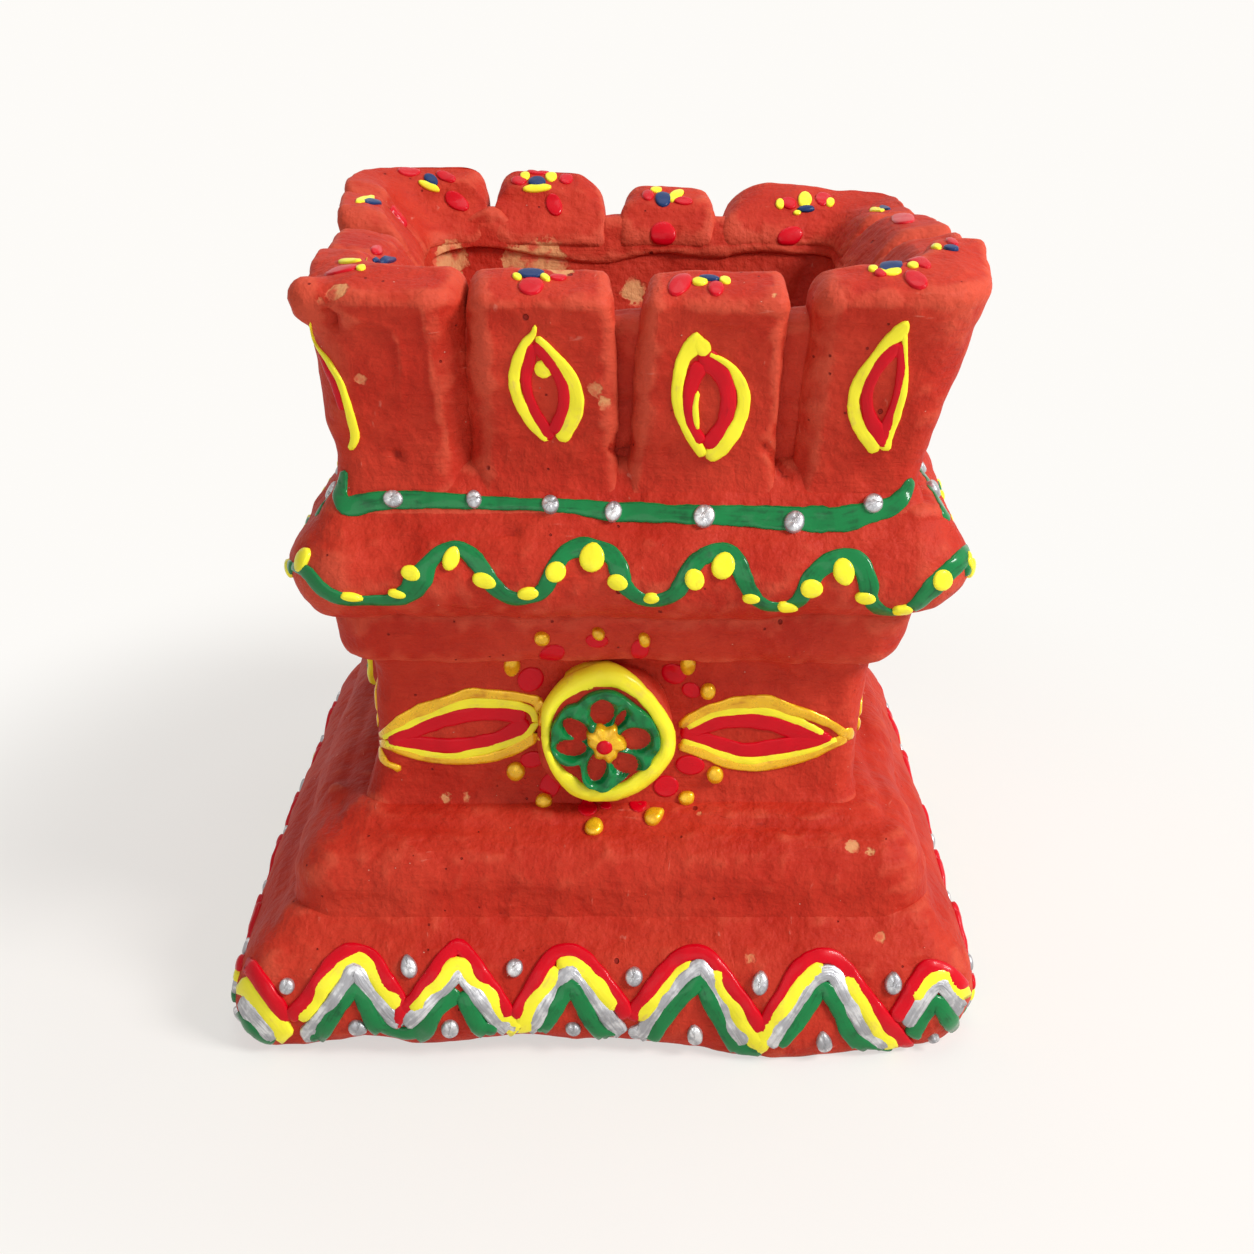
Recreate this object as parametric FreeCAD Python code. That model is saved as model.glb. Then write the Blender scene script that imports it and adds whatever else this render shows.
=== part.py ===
"""Tulsi vrindavan planter: a square altar pot of hand-built clay with raised paint.

Millimetres, +Z up, the front towards -Y, the origin under the middle of the foot.
The clay is luted together from rings, merlons and medallions. The paint is squeezed
on in ropes, bands and beads that stand up from the clay.
"""

import FreeCAD
import Part

import math
import os
from collections import namedtuple

# Heights of the clay rings, from the foot to the crown; the waist follows its medallion
SKIRT_HEIGHT = 22.5
STEP_HEIGHT = 16.0
LIP_HEIGHT = 10.0
CUSHION_HEIGHT = 15.5
SHOULDER_HEIGHT = 7.5
WALL_HEIGHT = 27.5
CROWN_HEIGHT = 8.0

# Skirt: the sloping bottom ring that the zigzag is painted on
SKIRT_HALF = 70.0
SKIRT_BELLY_HEIGHT = 8.0
SKIRT_FOOT_INSET = 3.0
SKIRT_SLOPE_INSET = 2.0
SKIRT_SLOPE_HEIGHT = 15.0
SKIRT_TOP_INSET = 6.5
SKIRT_CORNER_ROUND = 4.5
SKIRT_WALL = 12.0

# Floor slab: the plate let into the skirt, with the drain hole
FLOOR_THICKNESS = 11.0
FLOOR_CORNER_ROUND = 5.0
DRAIN_RADIUS = 5.0

# Step: the rounded slab between skirt and waist, set in from the skirt
STEP_INSET = 10.0
STEP_FOOT_INSET = 1.5
STEP_EDGE_INSET = 1.2
STEP_TOP_INSET = 4.2
STEP_NOSE_HEIGHT = 4.5
STEP_CORNER_ROUND = 4.8

# Waist: the slightly hollow square shaft, set in from the step
WAIST_INSET = 14.5
WAIST_MARGIN = 4.45  # above and below the medallion
WAIST_FLARE = 1.8
WAIST_CORNER_ROUND = 4.7
WAIST_WALL = 11.0

# Lip: the rolled moulding under the cushion
LIP_OVERHANG = 6.5
LIP_ROLL_HEIGHT = 5.0
LIP_CORNER_ROUND = 4.0

# Cushion: the thick moulding that the vine is painted on
CUSHION_OVERHANG = 7.0
CUSHION_FOOT_INSET = 5.0
CUSHION_TOP_INSET = 4.8
CUSHION_CORNER_ROUND = 6.0

# Shoulder: the slope from the cushion up to the merlons
SHOULDER_TOP_INSET = 5.2
SHOULDER_CORNER_ROUND = 2.4

# Well: the planting hole, from the floor slab to the rim
WELL_CORNER_ROUND = 5.0

# Basin wall: the leaning wall behind the merlons
WALL_THICKNESS = 7.0
WALL_LEAN = 6.5
WALL_CORNER_ROUND = 1.5

# Rim lining: the strip of clay pressed on inside, below the notches
LINING_DEPTH = 11.0
LINING_THICKNESS = 2.8

# Merlons: the twelve tongues of clay that lean out and fold over the rim
MERLON_THICKNESS = 5.0
MERLON_LEAN = 7.6
MERLON_NOSE_HEIGHT = 4.0
MERLON_NOSE_REACH = 3.6
MERLON_FOLD_REACH = 5.3
MERLON_FOOT_ROUND = 3.0
MERLON_TOP_ROUND = 2.2
# The notches along a side, from its left end: the middle of each, as a share of the crown's
# half-width, and its width. The maker cut those of the back side in other places
NOTCHES = ((-0.515, 2.6), (-0.037, 4.4), (0.447, 3.2))
BACK_NOTCHES = ((-0.306, 3.2), (0.08, 4.4), (0.543, 2.6))
NOTCH_FOOT_SHARE = 0.5  # the width at the foot, of the width at the top

# Medallion: the pressed clay disc on each side of the waist
MEDALLION_RADIUS = 12.3
MEDALLION_DEPTH = 5.0
MEDALLION_RISE = 1.5
MEDALLION_BEVEL = 0.6
WINDOW_COUNT = 8
WINDOW_DEPTH = 1.0
WINDOW_RING = 6.2
WINDOW_LENGTH = 4.8
WINDOW_WIDTH = 3.0

# Raised paint on the medallion
RING_INNER_RADIUS = 9.4
RING_EDGE_GAP = 0.7
RING_THICKNESS = 1.0
TRACERY_THICKNESS = 1.2
STAR_RADIUS = 3.4
STAR_NOTCH_RADIUS = 2.4
STAR_THICKNESS = 1.7
STAR_EYE_RADIUS = 1.2

# Raised paint on the skirt: four ropes of zigzag, one under the other, and beads
ZIGZAG_COUNT = 6
ZIGZAG_PEAK_DROP = 2.5
ZIGZAG_DEPTH = 14.0
ZIGZAG_PITCH = 2.9
ZIGZAG_THICKNESS = 0.9
ZIGZAG_FLOOR_GAP = 0.6
UPPER_BEAD_DROP = 5.5
LOWER_BEAD_RISE = 3.4
SKIRT_BEAD_RADIUS = 1.6

# Raised paint on the shoulder: a band with beads on it
BAND_RISE = 0.7
BAND_HEIGHT = 2.6
BAND_THICKNESS = 0.8
BAND_BEAD_COUNT = 7
BAND_BEAD_RADIUS = 1.6

# Raised paint on the cushion: a vine with leaf beads
VINE_WAVES = 5
VINE_SWING_DEGREES = 78.0
VINE_WIDTH = 2.3
VINE_THICKNESS = 0.7
VINE_BEAD_RADIUS = 1.7

# Almond eye on each merlon
EYE_RISE = 1.5
EYE_LENGTH = 21.0
EYE_WIDTH = 11.0
EYE_STROKE = 1.5
EYE_THICKNESS = 0.8
CORNER_EYE_SHARE = 0.72  # the eye of a corner merlon, as a share of the crown's half-width

# Almond leaf on each side of a medallion
LEAF_WIDTH = 13.0
LEAF_GOLD_STROKE = 1.2
LEAF_YELLOW_STROKE = 1.3
LEAF_RED_STROKE = 2.0
LEAF_THICKNESS = 0.7
LEAF_GAP = 0.5
LEAF_END_GAP = 2.7

# Halo of flat dots and gold beads above and below each medallion
HALO_COUNT = 6
HALO_RISE = 2.0
HALO_START_DEGREES = 26.0
HALO_GAP = 1.2
HALO_DOT_RADIUS = 1.8
HALO_DOT_THICKNESS = 0.4
HALO_STEP = 3.5
HALO_BEAD_RADIUS = 1.5

# Flower on top of each merlon
FLOWER_CORNER_SHARE = 0.93  # how far out a corner flower sits, of the others' distance
FLOWER_THICKNESS = 0.7
FLOWER_PETALS = 4
HEART_RADIUS = 1.9
STROKE_RING = 2.9
STROKE_RADIUS = 0.9
PETAL_RING = 3.9
PETAL_RADIUS = 1.3

SIDES = 4
SIDE_NAMES = ("front", "right", "back", "left")
CORNER_NAMES = ("front_right", "back_right", "back_left", "front_left")
REACH = 3 * SKIRT_HALF  # longer than any cut has to be
HALF_ARC_SHARE = math.sqrt(0.5)  # how far the middle of a quarter arc gets on each axis

# Levels where the rings meet
skirt_top = SKIRT_HEIGHT
step_top = skirt_top + STEP_HEIGHT
waist_top = step_top + 2 * (MEDALLION_RADIUS + WAIST_MARGIN)
lip_top = waist_top + LIP_HEIGHT
cushion_top = lip_top + CUSHION_HEIGHT
shoulder_top = cushion_top + SHOULDER_HEIGHT
wall_top = shoulder_top + WALL_HEIGHT
crown_top = wall_top + CROWN_HEIGHT

# Half-widths that follow from their neighbours
skirt_top_half = SKIRT_HALF - SKIRT_TOP_INSET
slab_half = SKIRT_HALF - SKIRT_FOOT_INSET - SKIRT_WALL
step_half = SKIRT_HALF - STEP_INSET
waist_half = step_half - WAIST_INSET
waist_end_half = waist_half + WAIST_FLARE
lip_half = waist_half + LIP_OVERHANG
cushion_half = lip_half + CUSHION_OVERHANG
cushion_top_half = cushion_half - CUSHION_TOP_INSET
crown_foot_half = cushion_top_half - SHOULDER_TOP_INSET
crown_half = crown_foot_half + MERLON_LEAN
wall_foot_half = crown_foot_half - MERLON_THICKNESS
wall_top_half = wall_foot_half + WALL_LEAN
well_floor_half = waist_half - WAIST_WALL
well_throat_half = wall_foot_half - WALL_THICKNESS
well_mouth_half = wall_top_half - WALL_THICKNESS
lining_half = well_mouth_half - LINING_THICKNESS

# Middles of the rounded corners
skirt_corner = skirt_top_half - SKIRT_CORNER_ROUND
crown_corner = crown_foot_half - SHOULDER_CORNER_ROUND
cushion_corner = cushion_half - CUSHION_FOOT_INSET - CUSHION_CORNER_ROUND
well_corner = well_floor_half - WELL_CORNER_ROUND

# Places of the painted motifs
medallion_z = (step_top + waist_top) / 2 + MEDALLION_RISE
medallion_face = waist_half + MEDALLION_DEPTH
halo_z = medallion_z + HALO_RISE
halo_dot_ring = MEDALLION_RADIUS + HALO_GAP + HALO_DOT_RADIUS
halo_bead_ring = halo_dot_ring + HALO_STEP
leaf_length = waist_half - LEAF_END_GAP - MEDALLION_RADIUS - LEAF_GAP
eye_z = (shoulder_top + wall_top) / 2 + EYE_RISE
zigzag_peak = skirt_top - ZIGZAG_PEAK_DROP

Bend = namedtuple("Bend", "half height")  # the middle of an arc in a side profile


def point(x, z, y=0):
    return FreeCAD.Vector(x, y, z)


def moved(shape, x=0, y=0, z=0):
    copy = shape.copy()
    copy.translate(FreeCAD.Vector(x, y, z))
    return copy


def turned(shape, quarter):
    """The shape turned about the upright axis by quarter turns."""
    copy = shape.copy()
    copy.rotate(FreeCAD.Vector(0, 0, 0), FreeCAD.Vector(0, 0, 1), quarter * 360 / SIDES)
    return copy


def four_sides(shape):
    """The solids of a front shape, repeated on all four sides."""
    return [solid for quarter in range(SIDES) for solid in turned(shape, quarter).Solids]


def save(node, *solids):
    shape = solids[0] if len(solids) == 1 else Part.Compound(solids)
    shape.exportStep(f"parts/{node}.step")


# Square blocks with rounded corners, from a side profile


def profile_edges(knots):
    """Lines and arcs through (half-width, height) knots; an arc passes through its Bend."""
    edges = []
    start = knots[0]
    bend = None
    for knot in knots[1:]:
        if isinstance(knot, Bend):
            bend = knot
            continue
        if bend:
            edges.append(Part.Arc(point(*start), point(*bend), point(*knot)).toShape())
        else:
            edges.append(Part.makeLine(point(*start), point(*knot)))
        start = knot
        bend = None
    return edges


def profile_face(knots, inner):
    """The face between the profile and the upright line at half-width inner."""
    top = point(inner, knots[-1][1])
    bottom = point(inner, knots[0][1])
    closing = [
        Part.makeLine(point(*knots[-1]), top),
        Part.makeLine(top, bottom),
        Part.makeLine(bottom, point(*knots[0])),
    ]
    return Part.Face(Part.Wire(profile_edges(knots) + closing))


def square_block(knots, corner):
    """A filled square block with the side profile, its corners turned about (corner, corner)."""
    bar = moved(profile_face(knots, 0), y=-corner).extrude(FreeCAD.Vector(0, 2 * corner, 0))
    round_corner = moved(profile_face(knots, corner), y=corner).revolve(
        FreeCAD.Vector(corner, corner, 0), FreeCAD.Vector(0, 0, 1), 360 / SIDES
    )
    pieces = [turned(piece, quarter) for quarter in range(SIDES) for piece in (bar, round_corner)]
    return pieces[0].multiFuse(pieces[1:]).removeSplitter().Solids[0]


# Clay blocks, each filled; the well and the neighbours are cut from them later


def skirt_block():
    knots = [
        (SKIRT_HALF - SKIRT_FOOT_INSET, 0),
        Bend(SKIRT_HALF, SKIRT_BELLY_HEIGHT),
        (SKIRT_HALF - SKIRT_SLOPE_INSET, SKIRT_SLOPE_HEIGHT),
        (skirt_top_half, skirt_top),
    ]
    return square_block(knots, skirt_corner)


def slab_block():
    knots = [(slab_half, 0), (slab_half, FLOOR_THICKNESS)]
    return square_block(knots, slab_half - FLOOR_CORNER_ROUND)


def step_block():
    foot_half = step_half - STEP_FOOT_INSET
    edge_half = step_half - STEP_EDGE_INSET
    top_half = step_half - STEP_TOP_INSET
    edge = step_top - STEP_NOSE_HEIGHT
    nose_reach = edge_half - top_half
    knots = [
        (foot_half, skirt_top),
        Bend(step_half, (skirt_top + edge) / 2),
        (edge_half, edge),
        Bend(top_half + nose_reach * HALF_ARC_SHARE, edge + STEP_NOSE_HEIGHT * HALF_ARC_SHARE),
        (top_half, step_top),
    ]
    return square_block(knots, top_half - STEP_CORNER_ROUND)


def waist_block():
    middle = (step_top + waist_top) / 2
    knots = [(waist_end_half, step_top), Bend(waist_half, middle), (waist_end_half, waist_top)]
    return square_block(knots, waist_half - WAIST_CORNER_ROUND)


def lip_block():
    roll = waist_top + LIP_ROLL_HEIGHT
    roll_reach = lip_half - waist_end_half
    knots = [
        (waist_end_half, waist_top),
        Bend(waist_end_half + roll_reach * HALF_ARC_SHARE, roll - LIP_ROLL_HEIGHT * HALF_ARC_SHARE),
        (lip_half, roll),
        (lip_half, lip_top),
    ]
    return square_block(knots, waist_end_half - LIP_CORNER_ROUND)


def cushion_block():
    knots = [
        (cushion_half - CUSHION_FOOT_INSET, lip_top),
        Bend(cushion_half, (lip_top + cushion_top) / 2),
        (cushion_top_half, cushion_top),
    ]
    return square_block(knots, cushion_corner)


def shoulder_block():
    knots = [(cushion_top_half, cushion_top), (crown_foot_half, shoulder_top)]
    return square_block(knots, crown_corner)


def wall_block():
    knots = [(wall_foot_half, shoulder_top), (wall_top_half, wall_top)]
    return square_block(knots, wall_foot_half - WALL_CORNER_ROUND)


def well_block():
    """The planting hole, straight up through every ring."""
    knots = [
        (well_floor_half, FLOOR_THICKNESS),
        (well_throat_half, shoulder_top),
        (well_mouth_half, wall_top),
    ]
    return square_block(knots, well_corner)


def lining_ring(well):
    """The strip inside the rim, as thick at its lower edge as at its upper one."""
    lean = (well_mouth_half - well_throat_half) / WALL_HEIGHT
    foot = wall_top - LINING_DEPTH
    foot_half = lining_half - lean * LINING_DEPTH
    hole = square_block([(foot_half, foot), (lining_half, wall_top)], well_corner)
    corner = FreeCAD.Vector(-REACH / 2, -REACH / 2, foot)
    return well.common(Part.makeBox(REACH, REACH, LINING_DEPTH, corner)).cut(hole)


def crown_block():
    edge = crown_top - MERLON_NOSE_HEIGHT
    top_half = crown_half - MERLON_NOSE_REACH
    nose_half = top_half + MERLON_NOSE_REACH * HALF_ARC_SHARE
    knots = [
        (crown_foot_half, shoulder_top),
        (crown_half, edge),
        Bend(nose_half, edge + MERLON_NOSE_HEIGHT * HALF_ARC_SHARE),
        (top_half, crown_top),
    ]
    return square_block(knots, crown_corner)


def crown_hollow():
    """The air that the merlons fold over, inside the rim."""
    top_half = lining_half + MERLON_FOLD_REACH
    fold_half = top_half - MERLON_FOLD_REACH * HALF_ARC_SHARE
    knots = [
        (lining_half, wall_top),
        Bend(fold_half, wall_top + CROWN_HEIGHT * HALF_ARC_SHARE),
        (top_half, crown_top),
    ]
    return square_block(knots, well_corner)


# Merlons


def rounded_outline(bar, radius, upper):
    """The bar with its upper or its lower edges across the wall rounded."""
    middle = (shoulder_top + crown_top) / 2
    across = [edge for edge in bar.Edges if edge.BoundBox.YLength > REACH / 2]
    return bar.makeFillet(radius, [edge for edge in across if (edge.BoundBox.ZMin > middle) == upper])


def tongue(left, left_foot, right, right_foot):
    """A bar towards the front with a merlon's outline, its four corners rounded."""
    foot = [point(left_foot, shoulder_top), point(right_foot, shoulder_top)]
    head = [point(right, crown_top), point(left, crown_top)]
    face = Part.Face(Part.makePolygon(foot + head + foot[:1]))
    bar = face.extrude(FreeCAD.Vector(0, -REACH, 0))
    return rounded_outline(rounded_outline(bar, MERLON_FOOT_ROUND, False), MERLON_TOP_ROUND, True)


def notches(side):
    """For each notch of a side: its left edge at head and foot, and its right edge likewise."""
    edges = []
    for share, width in BACK_NOTCHES if side == "back" else NOTCHES:
        middle = share * crown_half
        head = width / 2
        foot = head * NOTCH_FOOT_SHARE
        edges.append((middle - head, middle - foot, middle + head, middle + foot))
    return edges


def side_merlons(crown, quarter):
    """The merlons between the notches of a side, and the one at its right corner."""
    cuts = notches(SIDE_NAMES[quarter])
    next_cuts = notches(SIDE_NAMES[(quarter + 1) % SIDES])
    between = [
        crown.common(tongue(*before[2:], *after[:2])) for before, after in zip(cuts, cuts[1:])
    ]
    far = REACH / 2
    right_end = tongue(*cuts[-1][2:], far, far)
    left_end = tongue(-far, -far, *next_cuts[0][:2])
    corner = crown.common(right_end).common(turned(left_end, 1))
    return [turned(merlon, quarter) for merlon in between], turned(corner, quarter)


def merlon_middles(side):
    """Where the merlons between the notches of a side have their middles."""
    cuts = notches(side)
    return [(before[2] + after[0]) / 2 for before, after in zip(cuts, cuts[1:])]


# Flat outlines in the front plane


def prism(face):
    return face.extrude(FreeCAD.Vector(0, -REACH, 0))


def polygon(points):
    corners = [point(*knot) for knot in points]
    return Part.Face(Part.makePolygon(corners + corners[:1]))


def disc(x, z, radius):
    circle = Part.Circle(point(x, z), FreeCAD.Vector(0, -1, 0), radius)
    return Part.Face(Part.Wire(circle.toShape()))


def almond(x, z, length, width):
    """A level almond of two arcs."""
    tips = point(-length / 2, 0), point(length / 2, 0)
    arcs = [Part.Arc(tips[0], point(0, side * width / 2), tips[1]).toShape() for side in (1, -1)]
    return moved(Part.Face(Part.Wire(arcs)), x=x, z=z)


def inset_almond(length, width, stroke):
    """The length and width of an almond that lies one stroke inside another."""
    radius = (length**2 + width**2) / (4 * width)
    hub = radius - width / 2
    return 2 * math.sqrt((radius - stroke) ** 2 - hub**2), width - 2 * stroke


def almond_rings(x, z, length, width, strokes):
    """Level almond rings, one inside the other."""
    rings = []
    for stroke in strokes:
        inner = inset_almond(length, width, stroke)
        rings.append(almond(x, z, length, width).cut(almond(x, z, *inner)))
        length, width = inner
    return rings


def upright(face, x, z):
    """The face turned a quarter about the level axis through (x, z)."""
    copy = face.copy()
    copy.rotate(point(x, z), FreeCAD.Vector(0, 1, 0), 360 / SIDES)
    return copy


# Raised paint on the front


def front_wedge(floor):
    """The quarter of space in front of the two diagonals, above the floor."""
    corners = [point(0, floor), point(-REACH, floor, -REACH), point(REACH, floor, -REACH)]
    face = Part.Face(Part.makePolygon(corners + corners[:1]))
    return face.extrude(FreeCAD.Vector(0, 0, REACH))


def stroke(face, block, thickness, floor=0):
    """Paint with the outline of the face, laid on the front of the block."""
    skin = prism(face).common(moved(block, y=-thickness))
    return skin.common(front_wedge(floor)).cut(block)


def front_seat(block, x, z):
    """The point where a level line from the front meets the block."""
    line = Part.makeLine(point(x, z, -REACH), point(x, z))
    return point(x, z, line.common(block).BoundBox.YMin)


def beads(places, radius, *under):
    """Half-round beads on the solids under them, seated on the first of those."""
    made = []
    for x, z in places:
        ball = Part.makeSphere(radius, front_seat(under[0], x, z))
        for solid in under:
            ball = ball.cut(solid)
        made.append(max(ball.Solids, key=lambda solid: solid.Volume))
    return Part.Compound(made)


def zigzag_places():
    """The places along the front where the zigzag turns, from a corner peak to a corner peak."""
    slope_round = SKIRT_HALF - SKIRT_SLOPE_INSET - skirt_corner
    reach = skirt_corner + slope_round * HALF_ARC_SHARE
    step = reach / ZIGZAG_COUNT
    return [(turn - ZIGZAG_COUNT) * step for turn in range(2 * ZIGZAG_COUNT + 1)]


def zigzag_rope(skirt, drop):
    """One rope of the zigzag, its peaks one drop below the highest rope's."""
    places = zigzag_places()
    step = places[1] - places[0]
    places = [places[0] - step] + places + [places[-1] + step]
    depths = [ZIGZAG_DEPTH if turn % 2 == 0 else 0 for turn in range(len(places))]
    upper = [(x, zigzag_peak - drop - depth) for x, depth in zip(places, depths)]
    lower = [(x, z - ZIGZAG_PITCH) for x, z in reversed(upper)]
    return stroke(polygon(upper + lower), skirt, ZIGZAG_THICKNESS, ZIGZAG_FLOOR_GAP)


def vine_layout():
    """Half a wave's length, the radius of its arcs and the height of its middle line."""
    corner_round = cushion_half - cushion_corner
    half_wave = (cushion_corner + corner_round * HALF_ARC_SHARE) / VINE_WAVES
    radius = half_wave / 2 / math.sin(math.radians(VINE_SWING_DEGREES))
    return half_wave, radius, (lip_top + cushion_top) / 2


def vine_arc(crest, centre, out):
    """One arc of the wave, out from its hub; crest is 1 where it bends over and -1 under."""
    radius, middle = vine_layout()[1:]
    swing = math.radians(VINE_SWING_DEGREES)
    hub = middle - crest * radius * math.cos(swing)
    foot = hub + crest * out * math.cos(swing)
    aside = out * math.sin(swing)
    ends = point(centre - aside, foot), point(centre + aside, foot)
    return Part.Arc(ends[0], point(centre, hub + crest * out), ends[1]).toShape()


def vine_ribbon():
    """A wave of equal arcs, a crest on each corner; it overruns the corners."""
    half_wave, radius = vine_layout()[:2]
    upper = []
    lower = []
    for arc in range(2 * VINE_WAVES + 1):
        centre = (arc - VINE_WAVES) * half_wave
        crest = -1 if arc % 2 else 1
        upper.append(vine_arc(crest, centre, radius + crest * VINE_WIDTH / 2))
        lower.append(vine_arc(crest, centre, radius - crest * VINE_WIDTH / 2))
    first = Part.makeLine(upper[0].Vertexes[0].Point, lower[0].Vertexes[0].Point)
    last = Part.makeLine(upper[-1].Vertexes[-1].Point, lower[-1].Vertexes[-1].Point)
    return Part.Face(Part.Wire(Part.__sortEdges__(upper + [last] + lower + [first])))


def vine_places():
    """Leaf beads at the crests, at the troughs and at the crossings between them."""
    half_wave, radius, middle = vine_layout()
    rise = radius * (1 - math.cos(math.radians(VINE_SWING_DEGREES)))
    places = []
    for arc in range(1, 2 * VINE_WAVES):
        centre = (arc - VINE_WAVES) * half_wave
        crest = -1 if arc % 2 else 1
        places.append((centre, middle + crest * rise))
        places.append((centre + half_wave / 2, middle))
    return places[:-1]


def halo_places(ring):
    """Places on a ring round the medallion, above it and below it."""
    spread = 180 - 2 * HALO_START_DEGREES
    places = []
    for side in (1, -1):
        for turn in range(HALO_COUNT):
            angle = math.radians(HALO_START_DEGREES + spread * turn / (HALO_COUNT - 1))
            places.append((ring * math.cos(angle), halo_z + side * ring * math.sin(angle)))
    return places


# Medallion


def windows():
    """Almond windows round the middle of the medallion."""
    faces = []
    for turn in range(WINDOW_COUNT):
        face = almond(WINDOW_RING, medallion_z, WINDOW_LENGTH, WINDOW_WIDTH)
        face.rotate(point(0, medallion_z), FreeCAD.Vector(0, 1, 0), 360 * turn / WINDOW_COUNT)
        faces.append(face)
    return Part.Compound(faces)


def star():
    """The outline of the star in the middle of the medallion."""
    points = []
    for turn in range(2 * WINDOW_COUNT):
        angle = math.pi * turn / WINDOW_COUNT
        radius = STAR_NOTCH_RADIUS if turn % 2 else STAR_RADIUS
        points.append((radius * math.cos(angle), medallion_z + radius * math.sin(angle)))
    return polygon(points)


def plate(face, depth):
    """The face drawn out towards the front from the medallion's face; a negative depth sinks it."""
    return moved(face, y=-medallion_face).extrude(FreeCAD.Vector(0, -depth, 0))


def medallion(waist):
    """The pressed clay disc, its front edge bevelled, with the windows sunk in it."""
    base = point(0, medallion_z, -well_floor_half)
    depth = medallion_face - well_floor_half
    button = Part.makeCylinder(MEDALLION_RADIUS, depth, base, FreeCAD.Vector(0, -1, 0))
    rim = [edge for edge in button.Edges if edge.BoundBox.YMax < MEDALLION_BEVEL - medallion_face]
    button = button.makeChamfer(MEDALLION_BEVEL, rim)
    return button.cut(waist).cut(plate(windows(), -WINDOW_DEPTH)).Solids[0]


def medallion_paint():
    """The yellow ring, the green tracery, the gold star and the red eye of the front medallion."""
    hole = disc(0, medallion_z, RING_INNER_RADIUS)
    ring = disc(0, medallion_z, MEDALLION_RADIUS - RING_EDGE_GAP).cut(hole)
    tracery = hole.cut(windows()).cut(star())
    star_solid = plate(star(), STAR_THICKNESS)
    eye = Part.makeSphere(STAR_EYE_RADIUS, point(0, medallion_z, -medallion_face - STAR_THICKNESS))
    return {
        "rosette_ring_yellow": plate(ring, RING_THICKNESS),
        "rosette_tracery_green": plate(tracery, TRACERY_THICKNESS),
        "rosette_star_gold": star_solid,
        "rosette_eye_red": eye.cut(star_solid),
    }


# Flowers on the merlons


def flower_middles(side):
    """The flowers of a side's merlons and of the one at its right corner."""
    middle = (crown_half - MERLON_NOSE_REACH + lining_half + MERLON_FOLD_REACH) / 2
    corner = middle * FLOWER_CORNER_SHARE
    return [(x, -middle) for x in merlon_middles(side)] + [(corner, -corner)]


def flower_dabs(crown, radius, ring=0, start_degrees=0):
    """Dabs of paint on the merlon tops: one in each middle, or a ring of them round it."""
    dabs = []
    for quarter, side in enumerate(SIDE_NAMES):
        for x, y in flower_middles(side):
            for turn in range(FLOWER_PETALS if ring else 1):
                angle = math.radians(start_degrees + 360 * turn / FLOWER_PETALS)
                base = point(x + ring * math.cos(angle), wall_top, y + ring * math.sin(angle))
                column = Part.makeCylinder(radius, REACH, base)
                dab = column.common(moved(crown, z=FLOWER_THICKNESS)).cut(crown)
                dabs += turned(dab, quarter).Solids
    return dabs


# Everything is made on the front, then turned to the other sides


def make_clay(well):
    skirt = skirt_block()
    slab = slab_block()
    drain = Part.makeCylinder(DRAIN_RADIUS, FLOOR_THICKNESS)
    save("floor_slab", slab.cut(drain))
    save("plinth_skirt", skirt.cut(slab).cut(well))
    save("plinth_step", step_block().cut(well))
    waist = waist_block()
    save("waist_wall", waist.cut(well))
    save("cornice_lip", lip_block().cut(well))
    save("cushion_moulding", cushion_block().cut(well))
    save("shoulder_slope", shoulder_block().cut(well))
    save("basin_wall", wall_block().cut(well))
    save("rim_lining", lining_ring(well))
    button = medallion(waist)
    for quarter, side in enumerate(SIDE_NAMES):
        save(f"medallion_{side}", turned(button, quarter))


def make_merlons(crown):
    for quarter, side in enumerate(SIDE_NAMES):
        between, corner = side_merlons(crown, quarter)
        for number, merlon in enumerate(between, start=1):
            save(f"merlon_{side}_{number}", merlon)
        save(f"corner_merlon_{CORNER_NAMES[quarter]}", corner)


def make_skirt_paint():
    skirt = skirt_block()
    for number, colour in enumerate(("red", "yellow", "silver", "green")):
        rope = zigzag_rope(skirt, number * ZIGZAG_PITCH)
        save(f"zigzag_{colour}", *four_sides(rope))
    turns = zigzag_places()
    upper = [(x, skirt_top - UPPER_BEAD_DROP) for x in turns[1::2]]
    lower = [(x, LOWER_BEAD_RISE) for x in turns[2:-1:2]]
    save("zigzag_beads_upper", *four_sides(beads(upper, SKIRT_BEAD_RADIUS, skirt)))
    save("zigzag_beads_lower", *four_sides(beads(lower, SKIRT_BEAD_RADIUS, skirt)))


def make_band():
    shoulder = shoulder_block()
    slope = SHOULDER_TOP_INSET / SHOULDER_HEIGHT
    levels = cushion_top + BAND_RISE, cushion_top + BAND_RISE + BAND_HEIGHT
    knots = [
        (cushion_top_half + BAND_THICKNESS - slope * (level - cushion_top), level)
        for level in levels
    ]
    band = square_block(knots, crown_corner).cut(shoulder)
    save("band_green", band)
    spacing = 2 * cushion_top_half / (BAND_BEAD_COUNT + 1)
    middle = (BAND_BEAD_COUNT - 1) / 2
    places = [((bead - middle) * spacing, sum(levels) / 2) for bead in range(BAND_BEAD_COUNT)]
    made = beads(places, BAND_BEAD_RADIUS, band, shoulder, cushion_block())
    save("band_beads_silver", *four_sides(made))


def make_vine():
    cushion = cushion_block()
    vine = stroke(vine_ribbon(), cushion, VINE_THICKNESS)
    save("vine_green", *four_sides(vine))
    save("vine_beads_yellow", *four_sides(beads(vine_places(), VINE_BEAD_RADIUS, cushion, vine)))


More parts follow.
